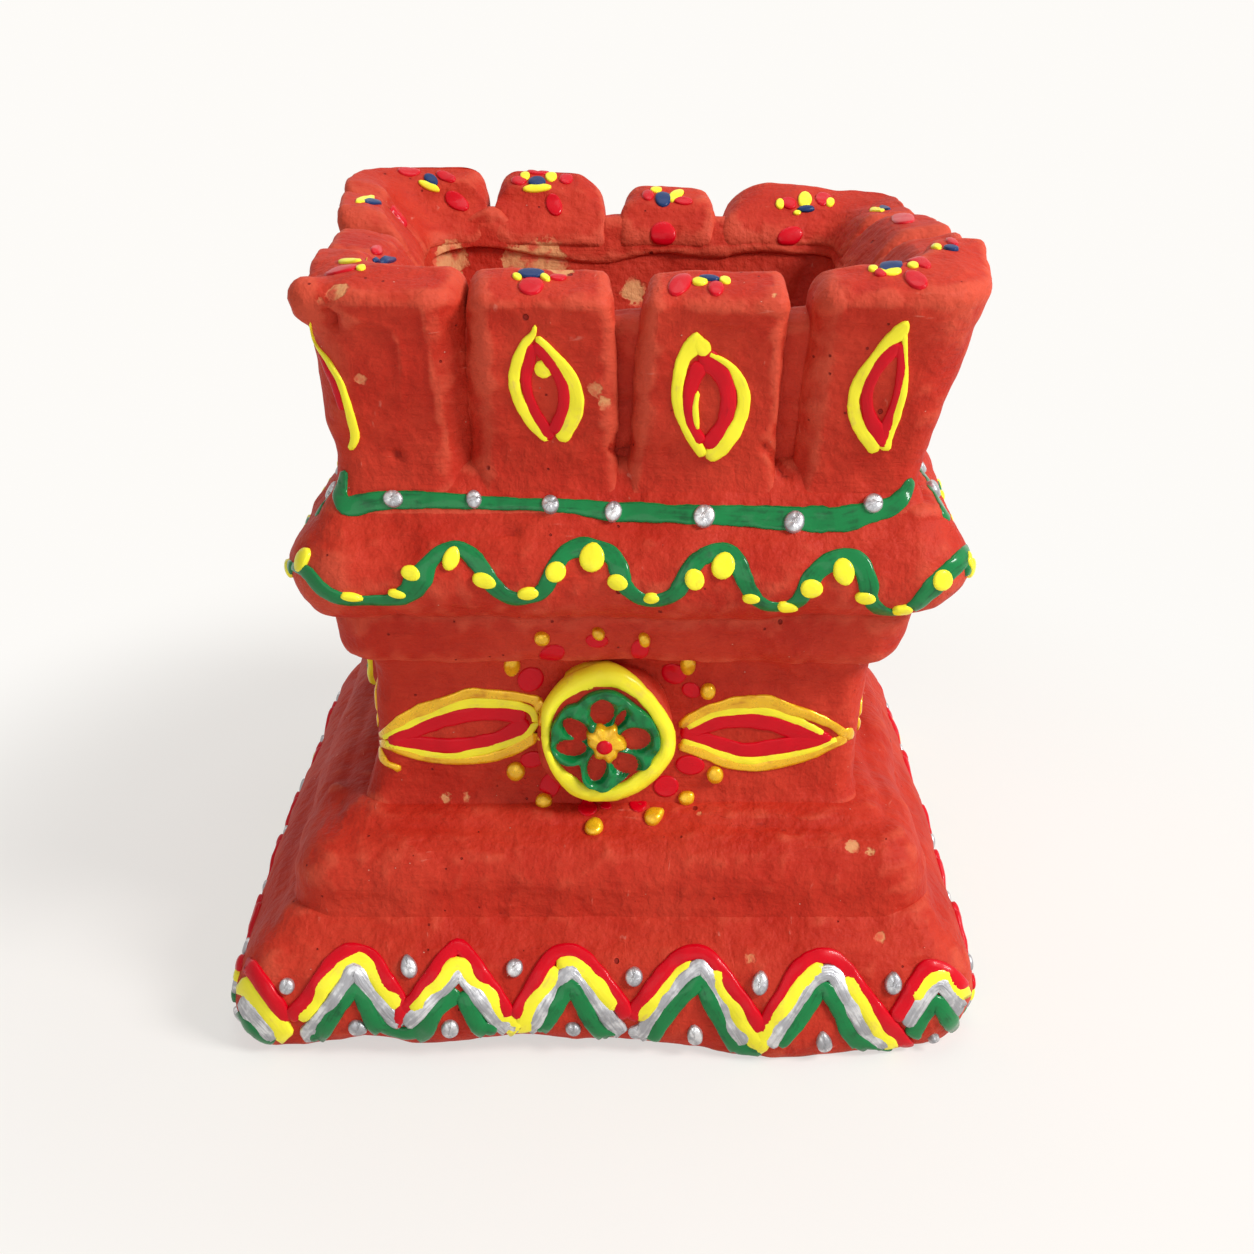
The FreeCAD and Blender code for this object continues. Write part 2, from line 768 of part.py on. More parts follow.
def make_eyes():
    crown = crown_block()
    nodes = ("merlon_eye_yellow", "merlon_eye_red")
    strokes = {node: [] for node in nodes}
    for quarter, side in enumerate(SIDE_NAMES):
        for x in merlon_middles(side) + [CORNER_EYE_SHARE * crown_half]:
            rings = almond_rings(x, eye_z, EYE_LENGTH, EYE_WIDTH, (EYE_STROKE, EYE_STROKE))
            for node, ring in zip(nodes, rings):
                mark = stroke(upright(ring, x, eye_z), crown, EYE_THICKNESS)
                strokes[node] += turned(mark, quarter).Solids
    for node, solids in strokes.items():
        save(node, *solids)


def make_leaves():
    waist = waist_block()
    middle = MEDALLION_RADIUS + LEAF_GAP + leaf_length / 2
    widths = LEAF_GOLD_STROKE, LEAF_YELLOW_STROKE, LEAF_RED_STROKE
    strokes = {"waist_leaf_gold": [], "waist_leaf_yellow": [], "waist_leaf_red": []}
    for x in (-middle, middle):
        for node, ring in zip(strokes, almond_rings(x, medallion_z, leaf_length, LEAF_WIDTH, widths)):
            strokes[node] += stroke(ring, waist, LEAF_THICKNESS).Solids
    for node, solids in strokes.items():
        save(node, *four_sides(Part.Compound(solids)))


def make_halo():
    wall = waist_block().fuse(lip_block()).removeSplitter().Solids[0]
    dots = [
        stroke(disc(x, z, HALO_DOT_RADIUS), wall, HALO_DOT_THICKNESS)
        for x, z in halo_places(halo_dot_ring)
    ]
    save("halo_dots_red", *four_sides(Part.Compound(dots)))
    gold = beads(halo_places(halo_bead_ring), HALO_BEAD_RADIUS, wall, step_block(), cushion_block())
    save("halo_beads_gold", *four_sides(gold))


def make_flowers(crown):
    between = 180 / FLOWER_PETALS
    save("flower_hearts_blue", *flower_dabs(crown, HEART_RADIUS))
    save("flower_strokes_yellow", *flower_dabs(crown, STROKE_RADIUS, STROKE_RING))
    save("flower_petals_red", *flower_dabs(crown, PETAL_RADIUS, PETAL_RING, between))


os.makedirs("parts", exist_ok=True)
well_solid = well_block()
crown_ring = crown_block().cut(crown_hollow()).cut(wall_block())
make_clay(well_solid)
make_merlons(crown_ring)
for paint_node, paint_shape in medallion_paint().items():
    save(paint_node, *four_sides(paint_shape))
make_skirt_paint()
make_band()
make_vine()
make_eyes()
make_leaves()
make_halo()
make_flowers(crown_ring)
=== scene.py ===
from math import ceil, cos, hypot, pi, radians, sin, sqrt
from random import Random

import bmesh
import bpy
import numpy as np
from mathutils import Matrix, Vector, noise
from mathutils.bvhtree import BVHTree


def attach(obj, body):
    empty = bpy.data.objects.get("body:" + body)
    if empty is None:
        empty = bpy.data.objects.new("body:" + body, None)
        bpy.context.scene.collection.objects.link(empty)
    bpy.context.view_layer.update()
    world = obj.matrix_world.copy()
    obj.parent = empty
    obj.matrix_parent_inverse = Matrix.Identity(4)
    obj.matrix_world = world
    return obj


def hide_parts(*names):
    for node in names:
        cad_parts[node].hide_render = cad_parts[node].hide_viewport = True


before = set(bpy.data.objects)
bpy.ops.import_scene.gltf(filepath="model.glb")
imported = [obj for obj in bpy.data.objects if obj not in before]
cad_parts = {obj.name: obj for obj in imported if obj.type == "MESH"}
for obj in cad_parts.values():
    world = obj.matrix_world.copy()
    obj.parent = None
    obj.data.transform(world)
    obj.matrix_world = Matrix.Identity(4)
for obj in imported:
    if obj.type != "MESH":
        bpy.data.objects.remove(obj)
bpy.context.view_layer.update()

# Camera: it stands upright in front of the planter and looks down into the crown. Lengths are
# in millimetres until a piece is finished, and a pixel is one of the 1254 by 1254 photograph.

MM = 0.001
PHOTO_SIDE = 1254
SENSOR_WIDTH = 36
LENS = 46.47
LOOKING_DOWN = radians(23.59)
EYE = Vector((1.3, -313.9, 193.6))
NEAREST_SEEN = 0.01

camera = bpy.data.objects.new("camera", bpy.data.cameras.new("camera"))
bpy.context.scene.collection.objects.link(camera)
camera.data.lens = LENS
camera.data.sensor_width = SENSOR_WIDTH
camera.data.clip_start = NEAREST_SEEN
camera.location = EYE * MM
camera.rotation_euler = (pi / 2 - LOOKING_DOWN, 0, 0)
bpy.context.scene.camera = camera


def line_of_sight(u, v):
    """The direction in which the camera sees a pixel."""
    scale = SENSOR_WIDTH / PHOTO_SIDE / LENS
    right, up = (u - PHOTO_SIDE / 2) * scale, (PHOTO_SIDE / 2 - v) * scale
    down = LOOKING_DOWN
    return Vector((right, cos(down) + up * sin(down), up * cos(down) - sin(down))).normalized()


# Plinth skirt: the bottom ring, a fat slab of red-painted clay with a sloping face and a wavy
# foot. A strip of clay is laid round, joined and pressed into a rounded square by hand.

LEAN_AT_FOOT, LEAN_PER_MM = -3.76, 0.0536  # the whole planter leans a little to the right
CROWN_STARTS, CROWN_RISES = 105, 35
SWELL_FROM, SWELL_OVER, SWELL_GATHERS = 30, 12, 1.5
# the crown bulges to the left and to the right: place from front to back, and how far
SWELL_LEFT = ((-55, -1.0), (-30, -1.0), (-5, -0.8), (16, 2.0), (40, 4.0), (58, 2.0))
SWELL_RIGHT = ((-55, -0.5), (-40, 0.0), (-20, 2.0), (5, 3.0), (25, 2.0), (45, 0.5))
WELL_CORNER_ROUND = 5
RING_STEPS = 100
RING_CUTS = 5
OUTLINE_STEP = 0.9
HAND_WAVES = ((34, 1.5), (12, 0.8), (4.5, 0.32), (2.1, 0.13))  # size and depth of the unevenness
BODY_SEED, SEED_SHIFT = 6, (31.7, 17.3, 7.9)
# the mask of how far a point stands out: it pales the edges, as worn paint and a painted highlight, and
# darkens the creases as painted shade
WEAR_AND_PAINTED_LIGHT_REACH, WEAR_AND_PAINTED_LIGHT_RANGE = 8, 0.46
WELD = 0.001  # points of the button closer than this become one


def curve_through(knots, step, closed=False):
    """Points about a step apart on a smooth curve through the knots; a doubled knot is sharp."""
    knots = [np.array(knot, float) for knot in knots]
    count = len(knots)
    points = []
    for i in range(count if closed else count - 1):
        pick = (lambda j: knots[j % count]) if closed else (lambda j: knots[min(max(j, 0), count - 1)])
        before, start, end, after = (pick(i + j) for j in (-1, 0, 1, 2))
        pieces = max(1, ceil(np.linalg.norm(end - start) / step))
        if np.allclose(start, end):
            continue
        for t in np.arange(pieces) / pieces:
            points.append(
                0.5 * (2 * start + (end - before) * t
                       + (2 * before - 5 * start + 4 * end - after) * t * t
                       + (3 * start - before - 3 * end + after) * t ** 3)
            )
    return points if closed else points + [knots[-1]]


def around(along, half, corner, reach):
    """Places on a rounded square of that half-width: along runs from 0 in the middle of the
    front, anticlockwise, with a corner at each odd multiple of reach."""
    quarter = np.floor((along + reach) / (2 * reach))
    along = along - 2 * reach * quarter
    corner = np.minimum(corner, half - WELL_CORNER_ROUND)
    beyond = np.maximum(np.abs(along) - corner, 0)
    angle = beyond / (reach - corner) * pi / 4
    x = np.sign(along) * np.where(beyond > 0, corner + (half - corner) * np.sin(angle), np.abs(along))
    y = -(corner + (half - corner) * np.cos(angle))
    turn = quarter * pi / 2
    return x * np.cos(turn) - y * np.sin(turn), x * np.sin(turn) + y * np.cos(turn)


def to_mesh(bm, name):
    """The finished mesh of a piece of bmesh work."""
    mesh = bpy.data.meshes.new(name)
    bm.to_mesh(mesh)
    bm.free()
    return mesh


def spun_ring(outline, corner, reach):
    """Spin a closed outline into a round ring, and press that into a rounded square."""
    bm = bmesh.new()
    dots = [bm.verts.new((half, 0, z)) for half, z in outline]
    loop = [bm.edges.new(pair) for pair in zip(dots, dots[1:] + dots[:1])]
    bmesh.ops.spin(bm, geom=dots + loop, axis=(0, 0, 1), angle=2 * pi, steps=RING_STEPS,
                   use_merge=True)
    hoops = [bar for bar in bm.edges if abs(bar.verts[0].co.xy.cross(bar.verts[1].co.xy)) > 1]
    bmesh.ops.subdivide_edges(bm, edges=hoops, cuts=RING_CUTS, use_grid_fill=True)
    bmesh.ops.recalc_face_normals(bm, faces=bm.faces)
    mesh = to_mesh(bm, "ring")
    places = read(mesh)
    half = np.hypot(places[:, 0], places[:, 1])
    along = np.arctan2(places[:, 0], -places[:, 1]) / pi * 4 * reach
    places[:, 0], places[:, 1] = around(along, half, corner, reach)
    write(mesh, places)
    return mesh


def read(mesh, source="vertices", word="co"):
    """The place of every vertex, or its direction outward, as rows of three numbers."""
    values = np.empty(len(mesh.vertices) * 3, np.float32)
    getattr(mesh, source).foreach_get(word, values)
    return values.reshape(-1, 3).astype(float)


def write(mesh, places):
    """Put every vertex at its place."""
    mesh.vertices.foreach_set("co", places.astype(np.float32).ravel())
    mesh.update()


def work_by_hand(mesh, seed, waves=HAND_WAVES):
    """Push the surface in and out along its own direction, as fingers leave it."""
    places, outward = read(mesh), read(mesh, "vertex_normals", "vector")
    shift = Vector([seed * step for step in SEED_SHIFT])
    spots = [Vector(place) + shift for place in places]
    height = sum(
        depth * np.array([noise.noise(spot / size) for spot in spots]) for size, depth in waves
    )
    write(mesh, places + outward * height[:, None])


def mark_wear_and_painted_light(mesh):
    """Keep how far each point stands out: edges are painted pale, as worn paint and as a painted
    highlight, and creases are painted dark, as painted shade.
    """
    ends = np.empty(len(mesh.edges) * 2, np.int32)
    mesh.edges.foreach_get("vertices", ends)
    one, other = ends.reshape(-1, 2).T
    count = np.bincount(ends, minlength=len(mesh.vertices))[:, None]
    places = read(mesh)
    smooth = places.copy()
    for _ in range(WEAR_AND_PAINTED_LIGHT_REACH):
        total = np.zeros_like(smooth)
        for axis in range(3):
            total[:, axis] = np.bincount(one, smooth[other, axis], len(places))
            total[:, axis] += np.bincount(other, smooth[one, axis], len(places))
        smooth = total / count
    stands_out = ((places - smooth) * read(mesh, "vertex_normals", "vector")).sum(1)
    wear_and_painted_light = np.clip(0.5 + stands_out / WEAR_AND_PAINTED_LIGHT_RANGE / 2, 0, 1)
    mesh.attributes.new("wear_and_painted_light", "FLOAT", "POINT").data.foreach_set("value", wear_and_painted_light.astype(np.float32))


class Strand:
    """A value on its way through a material, so that its pattern is written as plain sums."""

    def __init__(self, recipe, socket):
        self.recipe, self.socket = recipe, socket

    def sum(self, operation, other, turned=False):
        """This value and another one, joined by a maths node."""
        first, second = (other, self) if turned else (self, other)
        return self.recipe.node("ShaderNodeMath", {"operation": operation}, {0: first, 1: second})

    def __add__(self, other):
        return self.sum("ADD", other)

    def __sub__(self, other):
        return self.sum("SUBTRACT", other)

    def __rsub__(self, other):
        return self.sum("SUBTRACT", other, True)

    def __mul__(self, other):
        return self.sum("MULTIPLY", other)

    __radd__, __rmul__ = __add__, __mul__


class Recipe:
    """A material being mixed. Its node method makes every node."""

    def __init__(self, name, **finish):
        self.material = bpy.data.materials.new(name)
        self.material.use_nodes = True
        self.tree = self.material.node_tree
        self.shader = self.tree.nodes["Principled BSDF"]
        for word, value in finish.items():
            self.shader.inputs[word.replace("_", " ")].default_value = value

    def node(self, kind, settings, sockets, out=0):
        """Make a node, set and join it, and hand on one of its outputs."""
        made = self.tree.nodes.new(kind)
        for word, value in settings.items():
            setattr(made, word, value)
        for word, value in sockets.items():
            self.join(value, made.inputs[word])
        return Strand(self, made.outputs[out])

    def join(self, value, socket):
        """Link a value to a socket, or write a plain number or colour into it."""
        if isinstance(value, Strand):
            self.tree.links.new(value.socket, socket)
        else:
            socket.default_value = value

    def feed(self, **values):
        """Join values to the shader's own sockets by their names."""
        for word, value in values.items():
            self.join(value, self.shader.inputs[word.replace("_", " ")])

    def place(self, stretch=(1, 1, 1)):
        """The place on the object in millimetres, drawn out along an axis if wanted."""
        where = self.node("ShaderNodeTexCoord", {}, {}, "Object")
        scale = [part / MM for part in stretch]
        return self.node("ShaderNodeVectorMath", {"operation": "MULTIPLY"}, {0: where, 1: scale})

    def cloud(self, where, size, detail=2.0, distortion=0.0):
        """Soft patches, with that many millimetres from one to the next."""
        sockets = {"Vector": where, "Scale": 1 / size, "Detail": detail, "Distortion": distortion}
        return self.node("ShaderNodeTexNoise", {}, sockets)

    def rise(self, value, low, high):
        """0 below low, 1 above high, and smooth between."""
        sockets = {"Value": value, "From Min": low, "From Max": high}
        return self.node("ShaderNodeMapRange", {"interpolation_type": "SMOOTHSTEP"}, sockets)

    def blend(self, first, second, share):
        """A mix of two colours by a share."""
        pair = {6: first, 7: second, 0: share}
        return self.node("ShaderNodeMix", {"data_type": "RGBA"}, pair, 2)

    def dots(self, where, size, chance, radius):
        """Small round marks in some of the cells of a Voronoi pattern, 1 inside a mark."""
        sockets = {"Vector": where, "Scale": 1 / size}
        near = self.node("ShaderNodeTexVoronoi", {}, sockets, "Distance")
        cell = Strand(self, near.socket.node.outputs["Color"])
        luck = self.node("ShaderNodeSeparateColor", {}, {0: cell})
        return (1 - self.rise(near, radius * 0.6, radius)) * self.rise(luck, 1 - chance, 1.001 - chance)

    def bump(self, height):
        """Height in millimetres, to the shader's Normal."""
        normal = self.node("ShaderNodeBump", {}, {"Height": height, "Distance": MM, "Strength": 1.0})
        self.feed(Normal=normal)


CLAY_RED = (0.45, 0.019, 0.0075, 1)
CLAY_LIGHT = (0.57, 0.044, 0.020, 1)
# the next colour is painted shade, put in creases, pits and holes
CLAY_PAINTED_SHADE = (0.20, 0.007, 0.005, 1)
# the next colour is worn clay, and also a painted highlight on the edges
CLAY_WORN_AND_HIGHLIGHT = (0.66, 0.10, 0.050, 1)
CLAY_BARE = (0.70, 0.31, 0.13, 1)
CLAY_DUST = (0.80, 0.42, 0.32, 1)
FINGER_MARK, CRUMB, GRAIN_SIZE = 19, 3.0, 0.8  # sizes of the clay's patches
LEVEL_SIZE, SLANT_SIZE, LINES_TURN = 1.5, 1.3, 15
LEVEL_LINES, SLANT_LINES = (0.14, 0.14, 1.5), (0.9, 0.25, 0.3)  # how the lines are drawn out
PIT_SPACING, HOLE_SPACING, FLECK_SPACING = 2.9, 8, 2.3
SMEAR_BEND, SMEAR_BEND_SCALE = 14.0, 0.16  # how far the smears' outlines wander
SMEAR_SCALE, FACET_SCALE = 0.075, 0.2  # how many of them there are to a millimetre


def mix_clay():
    """Matte red paint on hand-worked clay, with finger marks, tool lines, pits and bare spots, paler on
    the edges (worn paint and a painted highlight) and darker in creases and pits (painted shade).
    """
    clay = Recipe("red clay", Specular_IOR_Level=0.16)
    where = clay.place()
    # how far this point stands out: paler edges are worn paint and painted highlight, darker creases are
    # painted shade
    wear_and_painted_light = clay.node("ShaderNodeAttribute", {"attribute_name": "wear_and_painted_light"}, {}, "Fac")
    bare_share = clay.node("ShaderNodeAttribute", {"attribute_name": "bare"}, {}, "Fac")
    broad, small = clay.cloud(where, FINGER_MARK, 3), clay.cloud(where, CRUMB, 4)
    grain = clay.cloud(where, GRAIN_SIZE, 4)
    # a slanting scratch here, a level one there: the hand changes its way from place to place
    level = clay.cloud(clay.place(LEVEL_LINES), LEVEL_SIZE, 5, 0.6)
    slant = clay.cloud(clay.place(SLANT_LINES), SLANT_SIZE, 5, 0.8)
    way = clay.rise(clay.cloud(where, LINES_TURN, 1), 0.44, 0.56)
    lines = level * way + slant * (1 - way)
    pale = clay.rise(broad * 0.6 + small * 0.3 + lines * 0.15, 0.36, 0.72)
    colour = clay.blend(CLAY_RED, CLAY_LIGHT, pale)
    # paler on the edges: partly worn paint, partly a painted highlight
    colour = clay.blend(colour, CLAY_WORN_AND_HIGHLIGHT, clay.rise(wear_and_painted_light + small * 0.35, 0.80, 1.12) * 0.55)
    # darker in the creases: painted shade
    colour = clay.blend(colour, CLAY_PAINTED_SHADE, (1 - clay.rise(wear_and_painted_light + small * 0.12, 0.0, 0.26)) * 0.6)
    scratches = clay.rise(lines, 0.68, 0.72) * clay.rise(small, 0.48, 0.62)
    pits = clay.dots(where, PIT_SPACING, 0.20, 0.10)
    holes = clay.dots(clay.place((1.1, 1.0, 0.9)), HOLE_SPACING, 0.22, 0.075)
    flecks = clay.dots(clay.place((0.9, 1.1, 1.2)), FLECK_SPACING, 0.16, 0.07)
    bare = clay.rise(bare_share + small * 0.8 + grain * 0.4 - 0.6, 0.38, 0.50)
    colour = clay.blend(colour, clay.blend(CLAY_BARE, CLAY_WORN_AND_HIGHLIGHT, clay.rise(small, 0.45, 0.65)), bare)
    colour = clay.blend(colour, CLAY_DUST, (flecks + scratches * 0.3) * 0.7)
    # darker in pits and holes: painted shade
    colour = clay.blend(colour, CLAY_PAINTED_SHADE, clay.rise(pits + holes, 0.2, 1.0) * 0.85)
    # each smear of the finger leaves a low step in the surface
    bend = {"Vector": where, "Scale": SMEAR_BEND_SCALE, "Detail": 4.0}
    wander = clay.node("ShaderNodeTexNoise", {}, bend, "Color")
    wander = clay.node("ShaderNodeVectorMath", {"operation": "SCALE"}, {0: wander, "Scale": SMEAR_BEND})
    bent = clay.node("ShaderNodeVectorMath", {"operation": "ADD"}, {0: where, 1: wander})
    smears = []
    for scale in (SMEAR_SCALE, FACET_SCALE):
        smear = clay.node("ShaderNodeTexVoronoi", {}, {"Vector": bent, "Scale": scale}, "Color")
        smears.append(clay.node("ShaderNodeSeparateColor", {}, {0: smear}))
    worked = smears[0] * 0.20 + smears[1] * 0.10 + lines * 0.22
    rough = small * 0.42 + clay.cloud(where, LEVEL_SIZE, 3) * 0.20 + grain * 0.10
    clay.bump(worked + rough - pits * 0.30 - holes * 0.45 + flecks * 0.15 - bare * 0.12)
    clay.feed(Base_Color=colour, Roughness=0.46 + small * 0.2 + grain * 0.1 - flecks * 0.2)
    return clay.material


red_clay = mix_clay()
clay_meshes = []


def finish(name, mesh, material, slot, nodes, is_clay):
    """Lean a clay piece and remember its skin for the paint; put any piece on the planter's body."""
    places = read(mesh)
    if is_clay:
        x, y, z = places.T
        high = np.clip((z - CROWN_STARTS) / CROWN_RISES, 0, 1) ** SWELL_GATHERS
        left, right = (np.interp(y, *zip(*swell)) for swell in (SWELL_LEFT, SWELL_RIGHT))
        sideways = np.clip((np.abs(x) - SWELL_FROM) / SWELL_OVER, 0, 1) * np.where(x < 0, -left, right)
        places[:, 0] = x + high * sideways + LEAN_AT_FOOT + LEAN_PER_MM * z
        clay_meshes.append((name, mesh))
    write(mesh, places * MM)
    mesh.shade_smooth()
    mesh.materials.append(material)
    piece = bpy.data.objects.new(name, mesh)
    bpy.context.scene.collection.objects.link(piece)
    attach(piece, "root")
    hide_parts(*nodes)
    return piece


def finish_clay(name, mesh, *nodes):
    """A piece of clay for the nodes that it replaces."""
    return finish(name, mesh, red_clay, "painted_clay", nodes, True)


def gentle(distance, width):
    """1 in the middle of a mark, fading to 0 about a width away."""
    return np.exp(-(distance / width) ** 2)


SKIRT_CORNER, SKIRT_REACH = 59, 66
SKIRT_OUTLINE = (
    (53, 1.5), (57, 0), (57, 0), (65.5, 0), (68.4, 2.2), (69.8, 6.5), (69.6, 11), (68.2, 15.5),
    (65.8, 19.2), (63.2, 21.6), (60.9, 24.2), (58, 25.4), (50, 25), (36, 24), (34.8, 23),
    (34.8, 12), (34.8, 12), (53, 11), (53, 11),
)
FOOT_LIFTS = (  # place along the front, and how high the foot stands off the table there
    (-66, 0.2), (-55, 0.4), (-50, 1.7), (-44, 2.6), (-40, 2.3), (-35, 1.1), (-29, 1.2), (-22, 2.0),
    (-12, 1.9), (-6, 1.2), (4, 0.7), (14, 0.1), (66, 0.1),
)
FOOT_LIFT_TOP = 9
FOOT_OUTSIDE, FOOT_IN_FRONT = 60, -55
LIFT_BEHIND, LIFT_BEHIND_SIZE = 2.4, 17
FOOT_BULGE_PLACE, FOOT_BULGE_WIDTH, FOOT_BULGE = 33, 17, 2.6

skirt = spun_ring(curve_through(SKIRT_OUTLINE, OUTLINE_STEP, True), SKIRT_CORNER, SKIRT_REACH)
work_by_hand(skirt, BODY_SEED)
places = read(skirt)
x, y, z = places.T
low = np.clip(1 - z / FOOT_LIFT_TOP, 0, 1)
outside = np.maximum(np.abs(x), np.abs(y)) > FOOT_OUTSIDE
in_front = outside & (y < FOOT_IN_FRONT)
lifts = np.interp(x, *zip(*FOOT_LIFTS))
lifts_behind = LIFT_BEHIND * np.array(
    [max(0, noise.noise(Vector((a, b, 0)) / LIFT_BEHIND_SIZE)) for a, b in places[:, :2]]
)
z += low * np.where(in_front, lifts, np.where(outside, lifts_behind, 0))
y -= FOOT_BULGE * low * gentle(x - FOOT_BULGE_PLACE, FOOT_BULGE_WIDTH) * in_front
places[:, 2] = np.maximum(z, 0)
write(skirt, places)
finish_clay("plinth_skirt_clay", skirt, "plinth_skirt")

# Floor slab: the square base inside the skirt, with the drain hole. It is cut from a rolled
# sheet of clay, and its top is the bottom of the well, smoothed with a thumb.

SLAB_CORNER, SLAB_REACH = 49, 53
DRAIN_RADIUS = 5
SLAB_OUTLINE = (
    (DRAIN_RADIUS, 1.2), (DRAIN_RADIUS + 1, 0.3), (20, 0.3), (54, 0.3), (55, 1), (55, 9), (54, 11),
    (36, 11), (20, 10.8), (8, 10.6), (DRAIN_RADIUS + 0.6, 10.2), (DRAIN_RADIUS, 9.2),
)
DRAIN_ROUND_TO = 26
SLAB_STEP = 1.6
SLAB_SEED, SLAB_WAVES = 2, ((14, 0.5), (5, 0.3))

slab = spun_ring(curve_through(SLAB_OUTLINE, SLAB_STEP, True), SLAB_CORNER, SLAB_REACH)
places = read(slab)
half = np.abs(places[:, :2]).max(1)
away = np.hypot(*places[:, :2].T)
squareness = np.clip((half - DRAIN_RADIUS) / DRAIN_ROUND_TO, 0, 1)
places[:, :2] *= (squareness + (1 - squareness) * half / away)[:, None]
write(slab, places)
work_by_hand(slab, SLAB_SEED, SLAB_WAVES)
finish_clay("floor_slab_clay", slab, "floor_slab")

# Plinth step: the rounded slab on the skirt. One more strip of clay, its upper edge rolled over
# with the finger, luted down on the skirt so that a wavy crease stays between them.

STEP_CORNER, STEP_REACH = 50, 57
STEP_OUTLINE = (
    (35, 23), (40, 21), (60.4, 20.6), (61.0, 22.6), (60.6, 24.6), (60.1, 27.4), (60.0, 30.4),
    (59.2, 33), (57.4, 35.7), (54.4, 37.8), (52.2, 38.5), (50.0, 40.0), (46, 40.9), (37, 40.4),
    (35.2, 38), (34.9, 30),
)

step = spun_ring(curve_through(STEP_OUTLINE, OUTLINE_STEP, True), STEP_CORNER, STEP_REACH)
work_by_hand(step, BODY_SEED)
finish_clay("plinth_step_clay", step, "plinth_step")

# Waist wall: the square shaft. Four slabs of clay are joined at the corners; the sides are a
# little hollow and flare at the foot and under the cornice, where a crease runs round.

WAIST_CORNER, WAIST_REACH = 42.2, 44.6
WAIST_OUTLINE = (
    (35.6, 37), (40, 36.5), (47.3, 37.5), (47.2, 40.5), (46.3, 42.6), (45.8, 46), (45.4, 52), (45.3, 58),
    (45.5, 64), (46.0, 68.5), (46.9, 71), (47.3, 73.5), (44, 74.5), (38, 74), (36.1, 72.5), (35.7, 55),
)

waist = spun_ring(curve_through(WAIST_OUTLINE, OUTLINE_STEP, True), WAIST_CORNER, WAIST_REACH)
work_by_hand(waist, BODY_SEED)
finish_clay("waist_wall_clay", waist, "waist_wall")

# Cornice lip: the cove under the cushion, a rolled coil of clay smeared down on the waist with
# its lower edge left round and proud.

LIP_CORNER, LIP_REACH = 43.3, 49.5
LIP_OUTLINE = (
    (36.6, 71.5), (42, 70.4), (46.6, 70.6), (48.9, 71.3), (50.2, 73.0), (51.1, 76.0), (51.8, 79),
    (51.7, 81.4), (50.4, 82.9), (48, 83.5), (42, 83.6), (37, 83), (36.4, 78),
)

lip = spun_ring(curve_through(LIP_OUTLINE, OUTLINE_STEP, True), LIP_CORNER, LIP_REACH)
work_by_hand(lip, BODY_SEED)
finish_clay("cornice_lip_clay", lip, "cornice_lip")

# Cushion moulding: the thick rolled ring that sticks out furthest, a fat coil of clay rounded
# with the palm. A groove parts it from the lip below.

CUSHION_CORNER, CUSHION_REACH = 48, 54.5
CUSHION_RIGHT, RIGHT_FROM, RIGHT_OVER = 1.8, 38, 15  # it is rolled fatter on the right
CUSHION_OUTLINE = (
    (37, 82), (44, 81.2), (50.4, 81.6), (54.2, 82.6), (57.2, 84.9), (58.8, 87.8), (59.2, 90.4),
    (58.5, 93.2), (57.0, 95.5), (55.2, 97.5), (53.7, 99.3), (52.2, 101.6), (50, 102.4), (46, 102),
    (39, 99.6), (37.3, 97), (36.9, 90),
)

cushion = spun_ring(curve_through(CUSHION_OUTLINE, OUTLINE_STEP, True), CUSHION_CORNER, CUSHION_REACH)
places = read(cushion)
places[:, 0] += CUSHION_RIGHT * np.clip((places[:, 0] - RIGHT_FROM) / RIGHT_OVER, 0, 1)
write(cushion, places)
work_by_hand(cushion, BODY_SEED)
finish_clay("cushion_moulding_clay", cushion, "cushion_moulding")

# Shoulder slope: the strip between the cushion and the petals, drawn up out of the cushion with
# the thumb, so no seam shows below it. The green band is painted on it.

SHOULDER_CORNER, SHOULDER_REACH = 46.6, 51.6
SHOULDER_OUTLINE = (
    (37.6, 97.6), (44, 97.4), (51.4, 98), (53.0, 100.2), (51.8, 102.4), (50.2, 105.0), (48.8, 107.6),
    (46.6, 108.8), (41, 107.8), (38.2, 106.5), (37.5, 102),
)

shoulder = spun_ring(curve_through(SHOULDER_OUTLINE, OUTLINE_STEP, True), SHOULDER_CORNER, SHOULDER_REACH)
work_by_hand(shoulder, BODY_SEED)
finish_clay("shoulder_slope_clay", shoulder, "shoulder_slope")

# Basin wall: the thin leaning wall that the petals are pressed on. It shows in the notches, as
# two courses of clay with a seam, and as the inside of the well.

WALL_CORNER, WALL_REACH = 41, 47
WALL_OUTLINE = (
    (37.4, 104.6), (42, 104), (45.4, 104.4), (46.6, 108), (48.2, 115), (49.2, 118.4), (49.0, 119.6),
    (49.6, 121), (50.6, 126), (51.6, 131.5), (51, 133.4), (47.5, 134), (44.4, 133), (42.6, 128),
    (40, 118),
)

SADDLES = ((-31.8, 2.6, 4), (-5.2, 0.4, 4), (17.8, -2.6, 4.5))  # place at the back, rise, width
SADDLE_BEHIND, SADDLE_BEHIND_OVER = 25, 10
SADDLE_ABOVE, SADDLE_ABOVE_OVER = 128, 5


def raise_saddles(places, share=1.0):
    """Lift or press down the wall's top between the petals at the back."""
    x, y, z = places.T
    top = np.clip((y - SADDLE_BEHIND) / SADDLE_BEHIND_OVER, 0, 1)
    top = top * np.clip((z - SADDLE_ABOVE) / SADDLE_ABOVE_OVER, 0, 1)
    for place, rise, width in SADDLES:
        z += share * rise * gentle(x - place, width) * top


